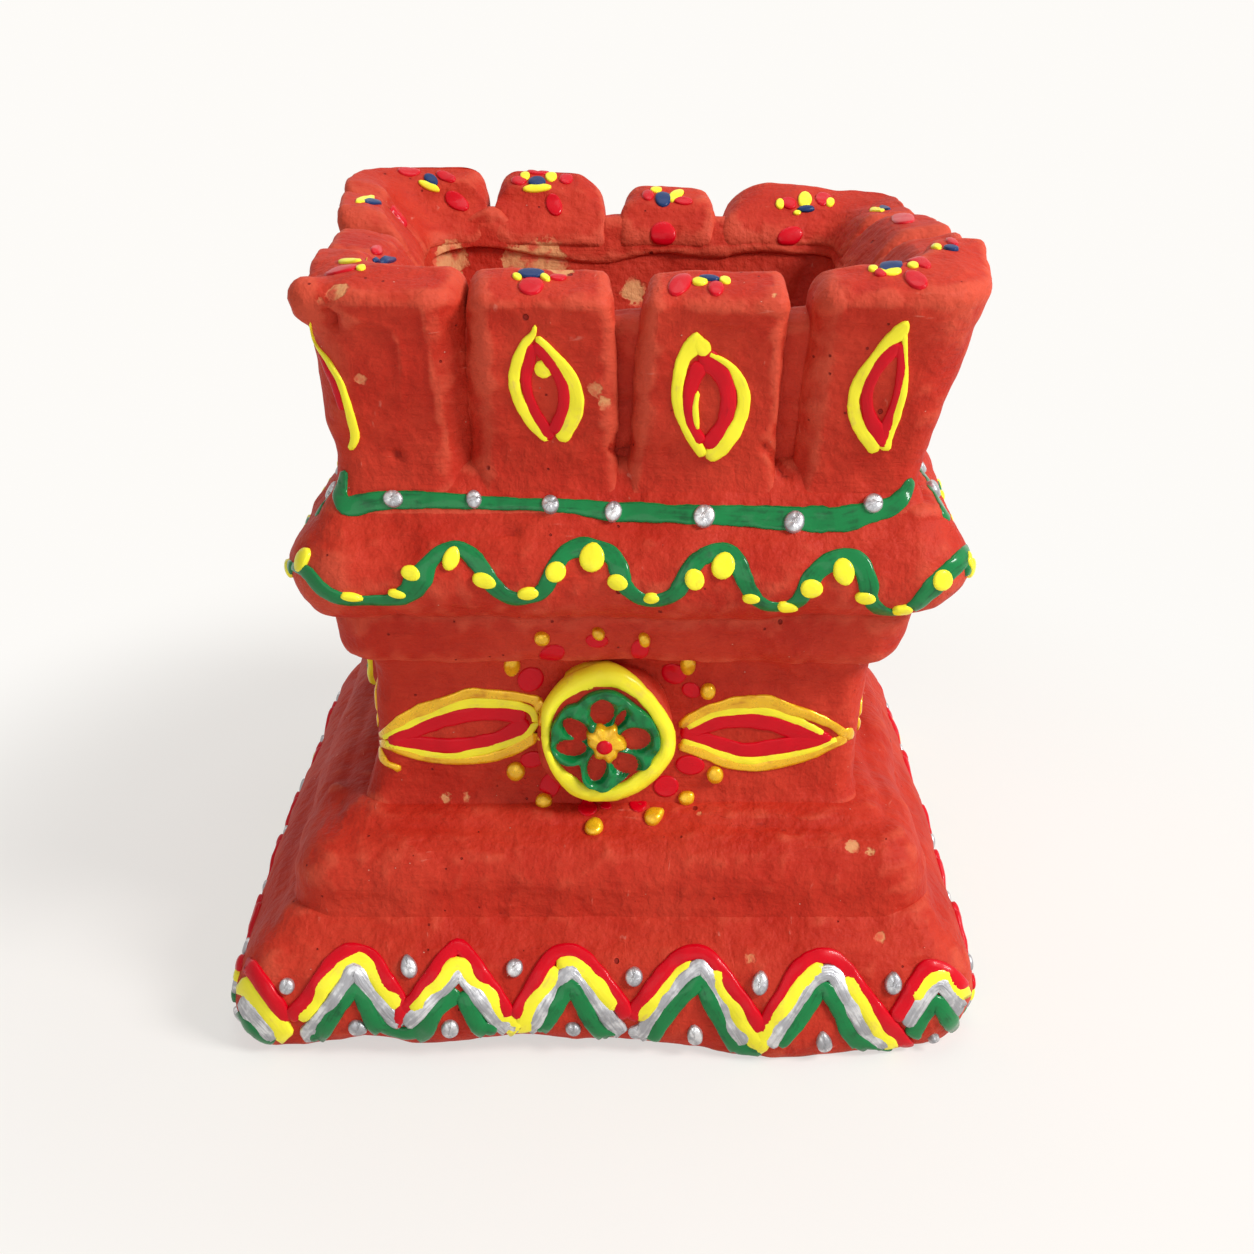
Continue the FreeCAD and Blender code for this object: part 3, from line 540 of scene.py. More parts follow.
wall = spun_ring(curve_through(WALL_OUTLINE, OUTLINE_STEP, True), WALL_CORNER, WALL_REACH)
places = read(wall)
raise_saddles(places)
write(wall, places)
work_by_hand(wall, BODY_SEED)
finish_clay("basin_wall_clay", wall, "basin_wall")

# Rim lining: the strip of clay folded over the wall inside the rim. Its lower edge hangs free
# as a wavy fold, and its top shows as a saddle in each notch.

LINING_CORNER, LINING_REACH = 38, 44
LINING_OUTLINE = (
    (51.2, 131.0), (50.2, 133.0), (47.6, 134.2), (45.2, 134.0), (43.4, 132.2), (42.4, 130.2),
    (41.6, 128.4), (41.3, 127.2), (42.0, 126.4), (43.6, 127.2), (46, 129.0), (49.2, 129.6),
)
FOLD_WAVE, FOLD_WAVE_SIZE, FOLD_SEED = 4.5, 20, 40
FOLD_TOP, FOLD_HANGS = 132, 5
LINING_SADDLE_SHARE = 0.4

lining = spun_ring(curve_through(LINING_OUTLINE, OUTLINE_STEP, True), LINING_CORNER, LINING_REACH)
places = read(lining)
hanging = np.clip((FOLD_TOP - places[:, 2]) / FOLD_HANGS, 0, 1)
places[:, 2] += hanging * FOLD_WAVE * np.array(
    [noise.noise(Vector((a, b, FOLD_SEED)) / FOLD_WAVE_SIZE) for a, b in places[:, :2]]
)
raise_saddles(places, LINING_SADDLE_SHARE)
write(lining, places)
work_by_hand(lining, BODY_SEED)
finish_clay("rim_lining_clay", lining, "rim_lining")

# Merlons: twelve tongues of clay, cut from a thick strip, pressed on the wall and leaning out,
# with flat tops as broad as two fingers. Their feet are smeared down on the shoulder.

CROWN_CORNER, CROWN_REACH = 46.6, 51.6
CROWN_FOOT = 102
FRONT_AT_SHOULDER, FRONT_LEAN = 49.2, 0.236
FOOT_FLARE, FOOT_FLARE_HEIGHT = 3.3, 3.6
TONGUE_ROUND = 1.8
BACK_IN_FRONT = (  # height, and how far from the middle the inner face stands there
    (102, 42), (119, 45.5), (124, 45), (127.5, 42.8), (129, 41.6), (131, 42.0), (133, 43.2), (137, 44.6),
    (141, 46.0), (150, 49),
)
BACK_ELSEWHERE = (
    (102, 42), (119, 45.5), (124, 45), (127.5, 42.8), (129, 41.5), (131, 42.1), (133, 43.4), (137, 45.8),
    (141, 48.4), (150, 52),
)
TOP_TILTS = (  # place from front to back, and how much lower the outer edge of the top is there
    (-56, 3.0), (-44, 2.6), (-30, -1.0), (30, -1.6), (44, -3.2), (56, -3.2),
)
TILT_STARTS, TILT_OVER, TILT_GATHERS = 133, 8, 1.5
FRONT_ENDS, BEHIND_OVER = -46, 14
SHOULDER_AT, FLARE_SIDEWAYS = 105, 0.6
TONGUE_DEPTH = 12
BEVEL_SLOPE = 0.62
TONGUE_STEP = 0.75
SIDES = ("front", "right", "back", "left")
CORNERS = ("front_right", "back_right", "back_left", "front_left")
# for each merlon, left to right along its side and then the one at its right corner: the left
# edge at head and foot, the right edge likewise, the top and its rise from left to right, how
# broad the bevel down each edge is, and how far its left and right shoulders are rounded off
MERLONS = {
    "front": (
        (-28.5, -26.3, -4.9, -2.8, 141.2, -0.01, 3.6, 0.8, 3.4, 2.0),
        (0.6, 0.2, 23.3, 24.3, 140.6, 0.0, 1.4, 1.2, 2.6, 1.6),
        (28.2, 28.2, 72.8, 74.6, 142.2, 0.05, 3.4, 2.4, 3.2, 4.0),
    ),
    "right": (
        (-28.6, -28.2, -4.2, -3.2, 139.6, -0.03, 2.0, 2.0, 4.0, 4.0),
        (-0.4, -0.6, 24.0, 24.8, 138.8, 0.0, 2.0, 1.6, 4.0, 4.5),
        (26.4, 26.4, 84.0, 84.8, 139.0, 0.04, 1.8, 2.0, 4.5, 10.0),
    ),
    "back": (
        (-16.4, -17.0, 3.6, 4.0, 139.4, 0.12, 1.8, 2.0, 3.0, 6.0),
        (6.6, 6.0, 31.4, 31.4, 143.2, 0.02, 2.4, 1.6, 9.0, 5.0),
        (32.0, 31.8, 73.4, 74.2, 144.0, -0.03, 1.6, 2.4, 6.5, 5.0),
    ),
    "left": (
        (-28.0, -28.4, -4.0, -3.4, 142.6, -0.04, 2.0, 2.0, 5.0, 5.0),
        (-0.2, -0.8, 23.6, 24.4, 139.8, 0.02, 2.0, 2.0, 5.0, 4.0),
        (26.4, 26.0, 74.5, 76.6, 141.8, 0.0, 2.0, 5.8, 4.0, 4.4),
    ),
}


def clay_tongue(quarter, left, left_foot, right, right_foot, top, rise, bevel_left, bevel_right,
                round_left, round_right):
    """A block with soft edges, bent on to the leaning wall between a left and a right edge."""
    size = Vector(((right - left) / 2, TONGUE_DEPTH / 2, (top - CROWN_FOOT) / 2))
    bm = bmesh.new()
    bmesh.ops.create_cube(bm, size=2)
    for axis in range(3):
        bars = [bar for bar in bm.edges if abs((bar.verts[0].co - bar.verts[1].co)[axis]) > 1]
        cuts = int(2 * size[axis] / TONGUE_STEP)
        bmesh.ops.subdivide_edges(bm, edges=bars, cuts=cuts, use_grid_fill=True)
    mesh = to_mesh(bm, "tongue")
    size = np.array(size)
    block = read(mesh) * size
    core = np.clip(block, TONGUE_ROUND - size, size - TONGUE_ROUND)
    edge = block - core
    length = np.maximum(np.linalg.norm(edge, axis=1), 1e-6)[:, None]
    share = (core + edge / length * TONGUE_ROUND) / size
    sideways, inward, upward = share[:, 0], (share[:, 1] + 1) / 2, (share[:, 2] + 1) / 2
    to_left, to_right = (1 + sideways) * size[0], (1 - sideways) * size[0]
    drop = np.zeros_like(sideways)
    for away, shoulder in ((to_left, round_left), (to_right, round_right)):
        drop += shoulder * (1 - np.sqrt(1 - np.clip(1 - away / shoulder, 0, 1) ** 2))
    z = CROWN_FOOT + upward * (top - CROWN_FOOT + rise * sideways * size[0] - drop)
    high = np.clip((z - CROWN_FOOT) / (top - CROWN_FOOT), 0, 1)
    first = left_foot + (left - left_foot) * high
    last = right_foot + (right - right_foot) * high
    flare = FOOT_FLARE * np.exp(-(z - CROWN_FOOT) / FOOT_FLARE_HEIGHT)
    along = (first + last) / 2 + ((last - first) / 2 + flare * FLARE_SIDEWAYS) * sideways
    along += 2 * CROWN_REACH * quarter
    front = FRONT_AT_SHOULDER + FRONT_LEAN * (z - SHOULDER_AT) + flare
    for away, bevel in ((to_left, bevel_left), (to_right, bevel_right)):
        cut = np.clip(1 - away / bevel, 0, 1)
        front -= BEVEL_SLOPE * bevel * cut * cut * (2 - cut)
    y = around(along, front, CROWN_CORNER, CROWN_REACH)[1]
    behind = np.clip((y - FRONT_ENDS) / BEHIND_OVER, 0, 1)
    back_in_front = np.interp(z, *zip(*BACK_IN_FRONT))
    back_elsewhere = np.interp(z, *zip(*BACK_ELSEWHERE))
    back = (1 - behind) * back_in_front + behind * back_elsewhere
    half = front + (back - front) * inward
    x, y = around(along, half, CROWN_CORNER, CROWN_REACH)
    tilt = np.interp(y, *zip(*TOP_TILTS)) * np.clip((z - TILT_STARTS) / TILT_OVER, 0, 1)
    z = z - np.where(tilt > 0, tilt * (1 - inward) ** TILT_GATHERS, -tilt * inward ** TILT_GATHERS)
    write(mesh, np.stack((x, y, z), 1))
    work_by_hand(mesh, BODY_SEED)
    return mesh


for quarter, side in enumerate(SIDES):
    for number, sizes in enumerate(MERLONS[side], start=1):
        node = f"merlon_{side}_{number}" if number < 3 else f"corner_merlon_{CORNERS[quarter]}"
        finish_clay(node + "_clay", clay_tongue(quarter, *sizes), node)

# Medallions: on each side of the waist a thick disc of clay is pressed on with slip, its edge
# patted round with the finger. They carry the painted flowers.

MEDALLION_FACE = 5.4
MEDALLION_HEIGHT = 56.3
MEDALLION_SEAT = 45.4
MEDALLION_SHIFTS = {"front": -2.0, "right": 0.4, "back": 0.6, "left": -0.5}
BUTTON_STEP, BUTTON_TURNS, BUTTON_BOTTOM = 0.6, 110, -2
BUTTON_SWELLS = ((2, 0.025), (3, 0.015))  # lobes, and how far they stand out
BUTTON_SEED, BUTTON_WAVES = 30, ((9, 0.4), (3, 0.12))
BUTTON_OUTLINE = (
    (0, MEDALLION_FACE), (5, MEDALLION_FACE + 0.1), (10.6, MEDALLION_FACE), (12.1, MEDALLION_FACE - 0.5),
    (12.8, MEDALLION_FACE - 1.7), (12.8, 1.2), (12.6, BUTTON_BOTTOM),
)


def clay_button(quarter, shift, seed):
    """A pressed disc with a round edge, standing on one side of the waist."""
    bm = bmesh.new()
    dots = [bm.verts.new((r, 0, depth)) for r, depth in curve_through(BUTTON_OUTLINE, BUTTON_STEP)]
    dots.append(bm.verts.new((0, 0, BUTTON_BOTTOM)))
    line = [bm.edges.new(pair) for pair in zip(dots, dots[1:])]
    bmesh.ops.spin(bm, geom=dots + line, axis=(0, 0, 1), angle=2 * pi, steps=BUTTON_TURNS,
                   use_merge=True)
    bmesh.ops.remove_doubles(bm, verts=bm.verts, dist=WELD)
    mesh = to_mesh(bm, "button")
    places = read(mesh)
    angle = np.arctan2(places[:, 1], places[:, 0])
    swell = 1 + sum(far * np.sin(lobes * angle + seed * (lobes - 1)) for lobes, far in BUTTON_SWELLS)
    across, up = places[:, 0] * swell + shift, places[:, 1] * swell + MEDALLION_HEIGHT
    out = -(MEDALLION_SEAT + places[:, 2])
    turn = quarter * pi / 2
    x, y = across * cos(turn) - out * sin(turn), across * sin(turn) + out * cos(turn)
    write(mesh, np.stack((x, y, up), 1))
    bm = bmesh.new()
    bm.from_mesh(mesh)
    bmesh.ops.recalc_face_normals(bm, faces=bm.faces)
    bm.to_mesh(mesh)
    bm.free()
    work_by_hand(mesh, seed, BUTTON_WAVES)
    return mesh


for quarter, side in enumerate(SIDES):
    button = clay_button(quarter, MEDALLION_SHIFTS[side], BUTTON_SEED + quarter)
    finish_clay(f"medallion_{side}_clay", button, f"medallion_{side}")

# Marks in the clay: dents, ridges, lumps and cracks that the photograph shows, and spots where
# the red paint is missing and the buff clay shows. Each is given by the pixels it covers.

PIXEL = SENSOR_WIDTH / PHOTO_SIDE / LENS  # how wide a pixel is at a distance of 1
CLAY_MARKS = (  # width in pixels, height in millimetres (a dent's is negative), and its pixels
    (17, 2.6, ((303, 294), (308, 308))),
    (5, -3.0, ((330, 315), (331, 324))),
    (4, -1.2, ((327, 290), (323, 300))),
    (4, 0.35, ((334, 311), (352, 320), (383, 325), (397, 342), (401, 372), (399, 400))),
    (4.5, -1.3, ((397, 454), (398, 457))),
    (3.5, 0.35, ((421, 300), (428, 350), (438, 405), (450, 455))),
    (3.5, 0.35, ((612, 325), (615, 380), (617, 430))),
    (3.5, 0.35, ((775, 330), (777, 375), (775, 420))),
    (3.5, -1.3, ((612, 449), (622, 452), (629, 449))),
    (3.5, -1.2, ((765, 446), (776, 460), (786, 477))),
    (6, -0.6, ((505, 533), (513, 533))),
    (3.5, -0.6, ((455, 609), (470, 612), (482, 611))),
    (9, 1.4, ((336, 790), (345, 792))),
    (4, -0.28, ((440, 802), (480, 799), (520, 803), (560, 808))),
    (4, -0.25, ((640, 812), (720, 822), (790, 826), (845, 822))),
    (16, -0.7, ((405, 545), (380, 560))),
    (18, -0.5, ((640, 560), (660, 566))),
    (22, -0.5, ((430, 648), (470, 652))),
    (22, -0.5, ((800, 780), (760, 786))),
    (22, -0.6, ((700, 892), (740, 896))),
    (2.6, -0.6, ((757, 822), (766, 824))),
    (2.6, -0.7, ((783, 829), (799, 832))),
    (2.6, -0.5, ((812, 838), (822, 840))),
    (3.0, -0.6, ((454, 646), (460, 643))),
    (3.0, -0.5, ((500, 913), (503, 916))),
    (16, 0.5, ((480, 335), (484, 380))),
    (18, -0.5, ((360, 440), (372, 452))),
)
BARE_SPOTS = (  # middle in the photograph, reach in pixels, and how bare it is
    (449, 258, 20, 1.0), (520, 262, 20, 1.0), (545, 262, 24, 1.0), (562, 270, 16, 0.9),
    (633, 292, 14, 0.9), (337, 290, 12, 0.95), (360, 379, 8, 0.7), (595, 390, 12, 0.62),
    (604, 402, 12, 0.6), (776, 295, 7, 0.7), (852, 846, 9, 0.8), (870, 853, 8, 0.7),
    (881, 937, 9, 0.6), (750, 958, 9, 0.55), (446, 797, 10, 0.6), (468, 797, 9, 0.55),
    (318, 300, 7, 0.6), (940, 800, 12, 0.5), (398, 455, 6, 0.5), (700, 812, 8, 0.5),
)


def skin_of(meshes):
    """A surface for rays and nearest points, in millimetres, of these meshes together."""
    places, faces, start = [], [], 0
    for mesh in meshes:
        spots = read(mesh) / MM
        faces.extend([start + corner for corner in face.vertices] for face in mesh.polygons)
        places.extend(spots.tolist())
        start += len(spots)
    return BVHTree.FromPolygons(places, faces)


FARTHEST_SEEN, FIRST_FAR = 420, 280.0
MARK_STEP = 3.0
MARK_FADES = 3  # no mark is felt further off than this many of its widths


def seen(u, v, far=[FIRST_FAR]):
    """The place on the clay behind a pixel, or beside it where the line just misses."""
    ray = line_of_sight(u, v)
    hit, outward, face, distance = clay_skin.ray_cast(EYE, ray)
    if hit is None or distance > FARTHEST_SEEN:
        hit = clay_skin.find_nearest(EYE + ray * far[0])[0]
    else:
        far[0] = distance
    return hit


clay_skin = skin_of(mesh for name, mesh in clay_meshes)
marks = []
for width, height, pixels in CLAY_MARKS:
    centres = np.array([tuple(seen(u, v)) for u, v in curve_through(pixels, MARK_STEP)])
    reach = width * PIXEL * np.linalg.norm(centres[0] - np.array(EYE))
    marks.append((centres, reach, height))
spots = []
for u, v, reach, share in BARE_SPOTS:
    centre = seen(u, v)
    spots.append((np.array(centre), reach * PIXEL * (centre - EYE).length, share))
for name, mesh in clay_meshes:
    places, outward = read(mesh) / MM, read(mesh, "vertex_normals", "vector")
    for centres, reach, height in marks:
        near = reach * MARK_FADES + np.ptp(centres, 0).max()
        close = np.flatnonzero(np.linalg.norm(places - centres.mean(0), axis=1) < near)
        if len(close):
            away = np.linalg.norm(places[close][:, None] - centres, axis=2).min(1)
            places[close] += outward[close] * (height * gentle(away, reach))[:, None]
    bare = np.zeros(len(places))
    for centre, reach, share in spots:
        bare = np.maximum(bare, share * gentle(np.linalg.norm(places - centre, axis=1), reach))
    write(mesh, places)
    # the mask for worn and highlit edges and for the painted shade in creases
    mark_wear_and_painted_light(mesh)
    mesh.attributes.new("bare", "FLOAT", "POINT").data.foreach_set("value", bare.astype(np.float32))
    write(mesh, places * MM)
clay_skin = skin_of(mesh for name, mesh in clay_meshes)

# Zigzag ropes: four lines of thick glossy paint squeezed from a cone on the skirt, crimson
# uppermost, then yellow, silver and green. Where the photograph shows them they follow it.

ROPE_SIDES = 16
PAINT_ROOT = 0.35  # how deep paint is let into the clay
ENDS_ROUND = 0.8
FORESHORTENED = 1.8  # the most that a width may be foreshortened in the photograph
STROKE_SPREAD = 1.2  # a stroke is laid this much wider, as its edges thin out to nothing
STROKE_STEP = 4.0
EDGE_WAVES = ((2.6, 0.13), (1.1, 0.10))  # size and share of the unsteadiness of a stroke's edge
HEIGHT_WAVE, HEIGHT_SHARES, HEIGHT_SEED = 4, (0.85, 0.5), Vector((9, 9, 9))
STROKE_CROWN = 0.45  # the lower, the flatter a stroke's back
FAR_OUTSIDE = 100.0
SMOOTH_OVER = 3  # places before and behind that share in a stroke's direction outward
DAB_STEP, DAB_SIDES, DAB_RINGS = 0.5, 18, 10
DAB_CORNERS, TIP_GATHERS = 12, 6
LEAST_FACING = 0.05
LEAST_UP, LEAST_NARROW = 1e-3, 0.02
BRUSH_LINES, BRUSH_LINE_SIZE = (0.12, 1.4, 0), 0.9
THIN_PATCH_SIZE, PAINT_GRAIN_SIZE = 3.2, 0.7


def seen_near(u, v, middle, reach):
    """The place behind a pixel, but no further from the middle than the reach allows."""
    place = seen(u, v)
    away = place - middle
    if away.length > reach:
        place = clay_skin.find_nearest(middle + away.normalized() * reach)[0]
    return place


def seen_line(points, more=1.0):
    """Left and right edges of a stroke given as pixels: u, v and its width in pixels."""
    line = curve_through(points, STROKE_STEP)
    spread = STROKE_SPREAD * more / 2
    edges = []
    for i, (u, v, w) in enumerate(line):
        ahead = line[min(i + 1, len(line) - 1)] - line[max(i - 1, 0)]
        along = hypot(ahead[0], ahead[1])
        a, b = ahead[1] / along * w * spread, -ahead[0] / along * w * spread
        middle = seen(u, v)
        reach = w * spread * PIXEL * (middle - EYE).length * FORESHORTENED
        edges.append((seen_near(u - a, v - b, middle, reach), seen_near(u + a, v + b, middle, reach)))
    return edges


def ribbon(places, widths):
    """Left and right edges of a stroke of those widths along places on the clay."""
    if isinstance(widths, (int, float)):
        widths = [widths] * len(places)
    edges = []
    for i, (place, width) in enumerate(zip(places, widths)):
        ahead = places[min(i + 1, len(places) - 1)] - places[max(i - 1, 0)]
        side = ahead.cross(clay_skin.find_nearest(place)[1]).normalized() * width / 2
        edges.append((place - side, place + side))
    return edges


def beside(along, z, corner, reach):
    """The place on the clay at that height, looking straight in from outside."""
    halves = np.array([FAR_OUTSIDE, corner + WELL_CORNER_ROUND])
    x, y = around(np.array([along, along]), halves, corner, reach)
    lean = LEAN_AT_FOOT + LEAN_PER_MM * z
    start, end = (Vector((a + lean, b, z)) for a, b in zip(x, y))
    hit = clay_skin.ray_cast(start, (end - start).normalized())[0]
    return hit or clay_skin.find_nearest(start)[0]


def new_pot():
    """An empty pot for all the strokes of one colour."""
    pot = bmesh.new()
    pot.verts.layers.float_vector.new("stroke")
    return pot


def pour(pot, blank):
    """Add a finished stroke to the pot of its colour."""
    mesh = to_mesh(blank, "stroke")
    pot.from_mesh(mesh)
    bpy.data.meshes.remove(mesh)


def paint_height(up, thickness, dome):
    """How high paint stands over the clay, or how deep its underside is let in."""
    if up > LEAST_UP:
        return thickness * up ** dome
    return -PAINT_ROOT * min(1, 0.1 - 3 * up)


def brush(pot, edges, thickness, ends=True):
    """A raised line of paint between its two edges, following the clay under it."""
    count = len(edges)
    places = [(left + right) / 2 for left, right in edges]
    outward = [clay_skin.find_nearest(place)[1] for place in places]
    normals = [
        sum((outward[min(max(i + j, 0), count - 1)] for j in range(-SMOOTH_OVER, SMOOTH_OVER + 1)),
            Vector()).normalized()
        for i in range(count)
    ]
    lengths = [0]
    for one, other in zip(places, places[1:]):
        lengths.append(lengths[-1] + (other - one).length)
    blank = bmesh.new()
    layer = blank.verts.layers.float_vector.new("stroke")
    bmesh.ops.create_cone(blank, cap_ends=True, segments=ROPE_SIDES, radius1=1, radius2=1, depth=1)
    bars = [bar for bar in blank.edges if abs(bar.verts[0].co.z - bar.verts[1].co.z) > 0.5]
    bmesh.ops.subdivide_edges(blank, edges=bars, cuts=count - 2, use_grid_fill=True)
    for vert in blank.verts:
        i = round((vert.co.z + 0.5) * (count - 1))
        across, up = vert.co.x, vert.co.y
        side = (edges[i][1] - edges[i][0]) / 2
        half = side.length
        side = side.normalized()
        half *= 1 + sum(share * noise.noise(places[i] / size) for size, share in EDGE_WAVES)
        least, more = HEIGHT_SHARES
        height = thickness * (least + more * noise.noise(places[i] / HEIGHT_WAVE + HEIGHT_SEED))
        if ends:
            tip = min(lengths[i], lengths[-1] - lengths[i]) / max(half * ENDS_ROUND, 0.01)
            if tip < 1:
                narrow = sqrt(max(1 - (1 - tip) ** 2, LEAST_NARROW))
                half, height = half * narrow, height * narrow
        base = places[i] + side * (half * across)
        root = clay_skin.find_nearest(base)[0]
        vert.co = root + normals[i] * paint_height(up, height, STROKE_CROWN)
        vert[layer] = Vector((lengths[i], across * half, 1))
    pour(pot, blank)


def dab(pot, outline, thickness, dome=1.0, sides=DAB_SIDES):
    """A drop or patch of paint inside a closed outline of places."""
    ring = curve_through([tuple(place) for place in outline], DAB_STEP, True)
    ring = [Vector(place) for place in ring]
    centre = clay_skin.find_nearest(sum(ring, Vector()) / len(ring))[0]
    outward = sum((clay_skin.find_nearest(place)[1] for place in ring), Vector())
    outward = (outward / len(ring) + clay_skin.find_nearest(centre)[1]).normalized()
    blank = bmesh.new()
    layer = blank.verts.layers.float_vector.new("stroke")
    bmesh.ops.create_uvsphere(blank, u_segments=sides, v_segments=DAB_RINGS, radius=1)
    for vert in blank.verts:
        across, up = hypot(vert.co.x, vert.co.y), vert.co.z
        turn = (np.arctan2(vert.co.y, vert.co.x) / (2 * pi)) % 1 * len(ring)
        i = int(turn)
        edge = ring[i % len(ring)].lerp(ring[(i + 1) % len(ring)], turn - i)
        base = centre.lerp(edge, across)
        root = clay_skin.find_nearest(base)[0]
        vert.co = root + outward * paint_height(up, thickness, dome)
        vert[layer] = Vector(((edge - centre).length * across, turn / len(ring) * 6, 1))
    pour(pot, blank)


def dab_shape(wide, high, tip):
    """Offsets round a drop with those half-sizes, drawn out on one side if it has a tip."""
    for step in range(DAB_CORNERS):
        angle = 2 * pi * step / DAB_CORNERS
        grow = 1 + tip * max(0, cos(angle)) ** TIP_GATHERS
        yield wide * cos(angle) * grow, high * sin(angle)


def seen_dab(pot, u, v, wide, high, thickness, turn=0.0, dome=0.5, tip=0.0, stretch=FORESHORTENED):
    """A dab given as pixels: its middle, its half-sizes, its turn, and a drawn-out tip."""
    middle = seen(u, v)
    outward = clay_skin.find_nearest(middle)[1].copy()
    for a, b in ((-wide, 0), (wide, 0), (0, -high), (0, high)):
        near = seen_near(u + a, v + b, middle, hypot(a, b) * PIXEL * (middle - EYE).length * stretch)
        outward += clay_skin.find_nearest(near)[1]
    outward.normalize()
    turned = radians(turn)
    outline = []
    for a, b in dab_shape(wide, high, tip):
        ray = line_of_sight(u + a * cos(turned) + b * sin(turned), v - a * sin(turned) + b * cos(turned))
        facing = min(ray.dot(outward), -LEAST_FACING)
        away = EYE + ray * ((middle - EYE).dot(outward) / facing) - middle
        reach = hypot(a, b) * PIXEL * (middle - EYE).length * stretch
        if away.length > reach:
            away = away.normalized() * reach
        outline.append(clay_skin.find_nearest(middle + away)[0])
    dab(pot, outline, thickness, dome)


def mix_paint(name, colour, thin_colour, roughness, metallic=0.0, coat=0.08, streak=0.05, patches=0.5):
    """Thick glossy paint: brush lines along the stroke, and patches where it is thin and dull."""
    paint = Recipe(
        name, Metallic=metallic, Coat_Roughness=0.08, Coat_Weight=coat, Specular_IOR_Level=0.12
    )
    stroke = paint.node("ShaderNodeAttribute", {"attribute_name": "stroke"}, {}, "Vector")
    drawn = {0: stroke, 1: BRUSH_LINES}
    drawn = paint.node("ShaderNodeVectorMath", {"operation": "MULTIPLY"}, drawn)
    lines = paint.cloud(drawn, BRUSH_LINE_SIZE, 4, 0.5)
    where = paint.place()
    patch = paint.cloud(where, THIN_PATCH_SIZE, 3)
    grain = paint.cloud(where, PAINT_GRAIN_SIZE, 3)
    worn = patch * 0.6 + lines * 0.4 + grain * 0.15
    thin = paint.rise(worn, 0.74 - 0.3 * patches, 0.95 - 0.3 * patches)
    paint.feed(
        Base_Color=paint.blend(colour, thin_colour, thin),
        Roughness=roughness + thin * 0.15 + grain * 0.08,
    )
    paint.bump(lines * streak + patch * 0.10)
    return paint.material


crimson = mix_paint(
    "crimson paint", (0.62, 0.0, 0.010, 1), (0.44, 0.0, 0.008, 1), 0.32, coat=0.14, patches=0.2
)
yellow = mix_paint(
    "yellow paint", (0.98, 0.90, 0.035, 1), (0.84, 0.68, 0.08, 1), 0.32, coat=0.18, patches=0.45
)
silver = mix_paint(
    "silver paint", (0.70, 0.70, 0.71, 1), (0.36, 0.36, 0.38, 1), 0.28, 0.7, 0.3, 0.34, 1.0
)
green = mix_paint(
    "green paint", (0.0, 0.19, 0.045, 1), (0.0, 0.09, 0.022, 1), 0.26, coat=0.4, patches=0.6
)
gold = mix_paint(
    "gold paint", (0.84, 0.48, 0.012, 1), (0.62, 0.27, 0.004, 1), 0.24, 0.35, 0.5, 0.04, 0.6
)
navy = mix_paint(
    "navy paint", (0.010, 0.035, 0.13, 1), (0.02, 0.07, 0.20, 1), 0.35, patches=0.3
)


def finish_paint(node, pot, material, slot):
    """All the strokes in a pot, as the one piece that replaces a node."""
    bmesh.ops.recalc_face_normals(pot, faces=pot.faces)
    return finish(node + "_stroke", to_mesh(pot, node), material, slot, [node], False)


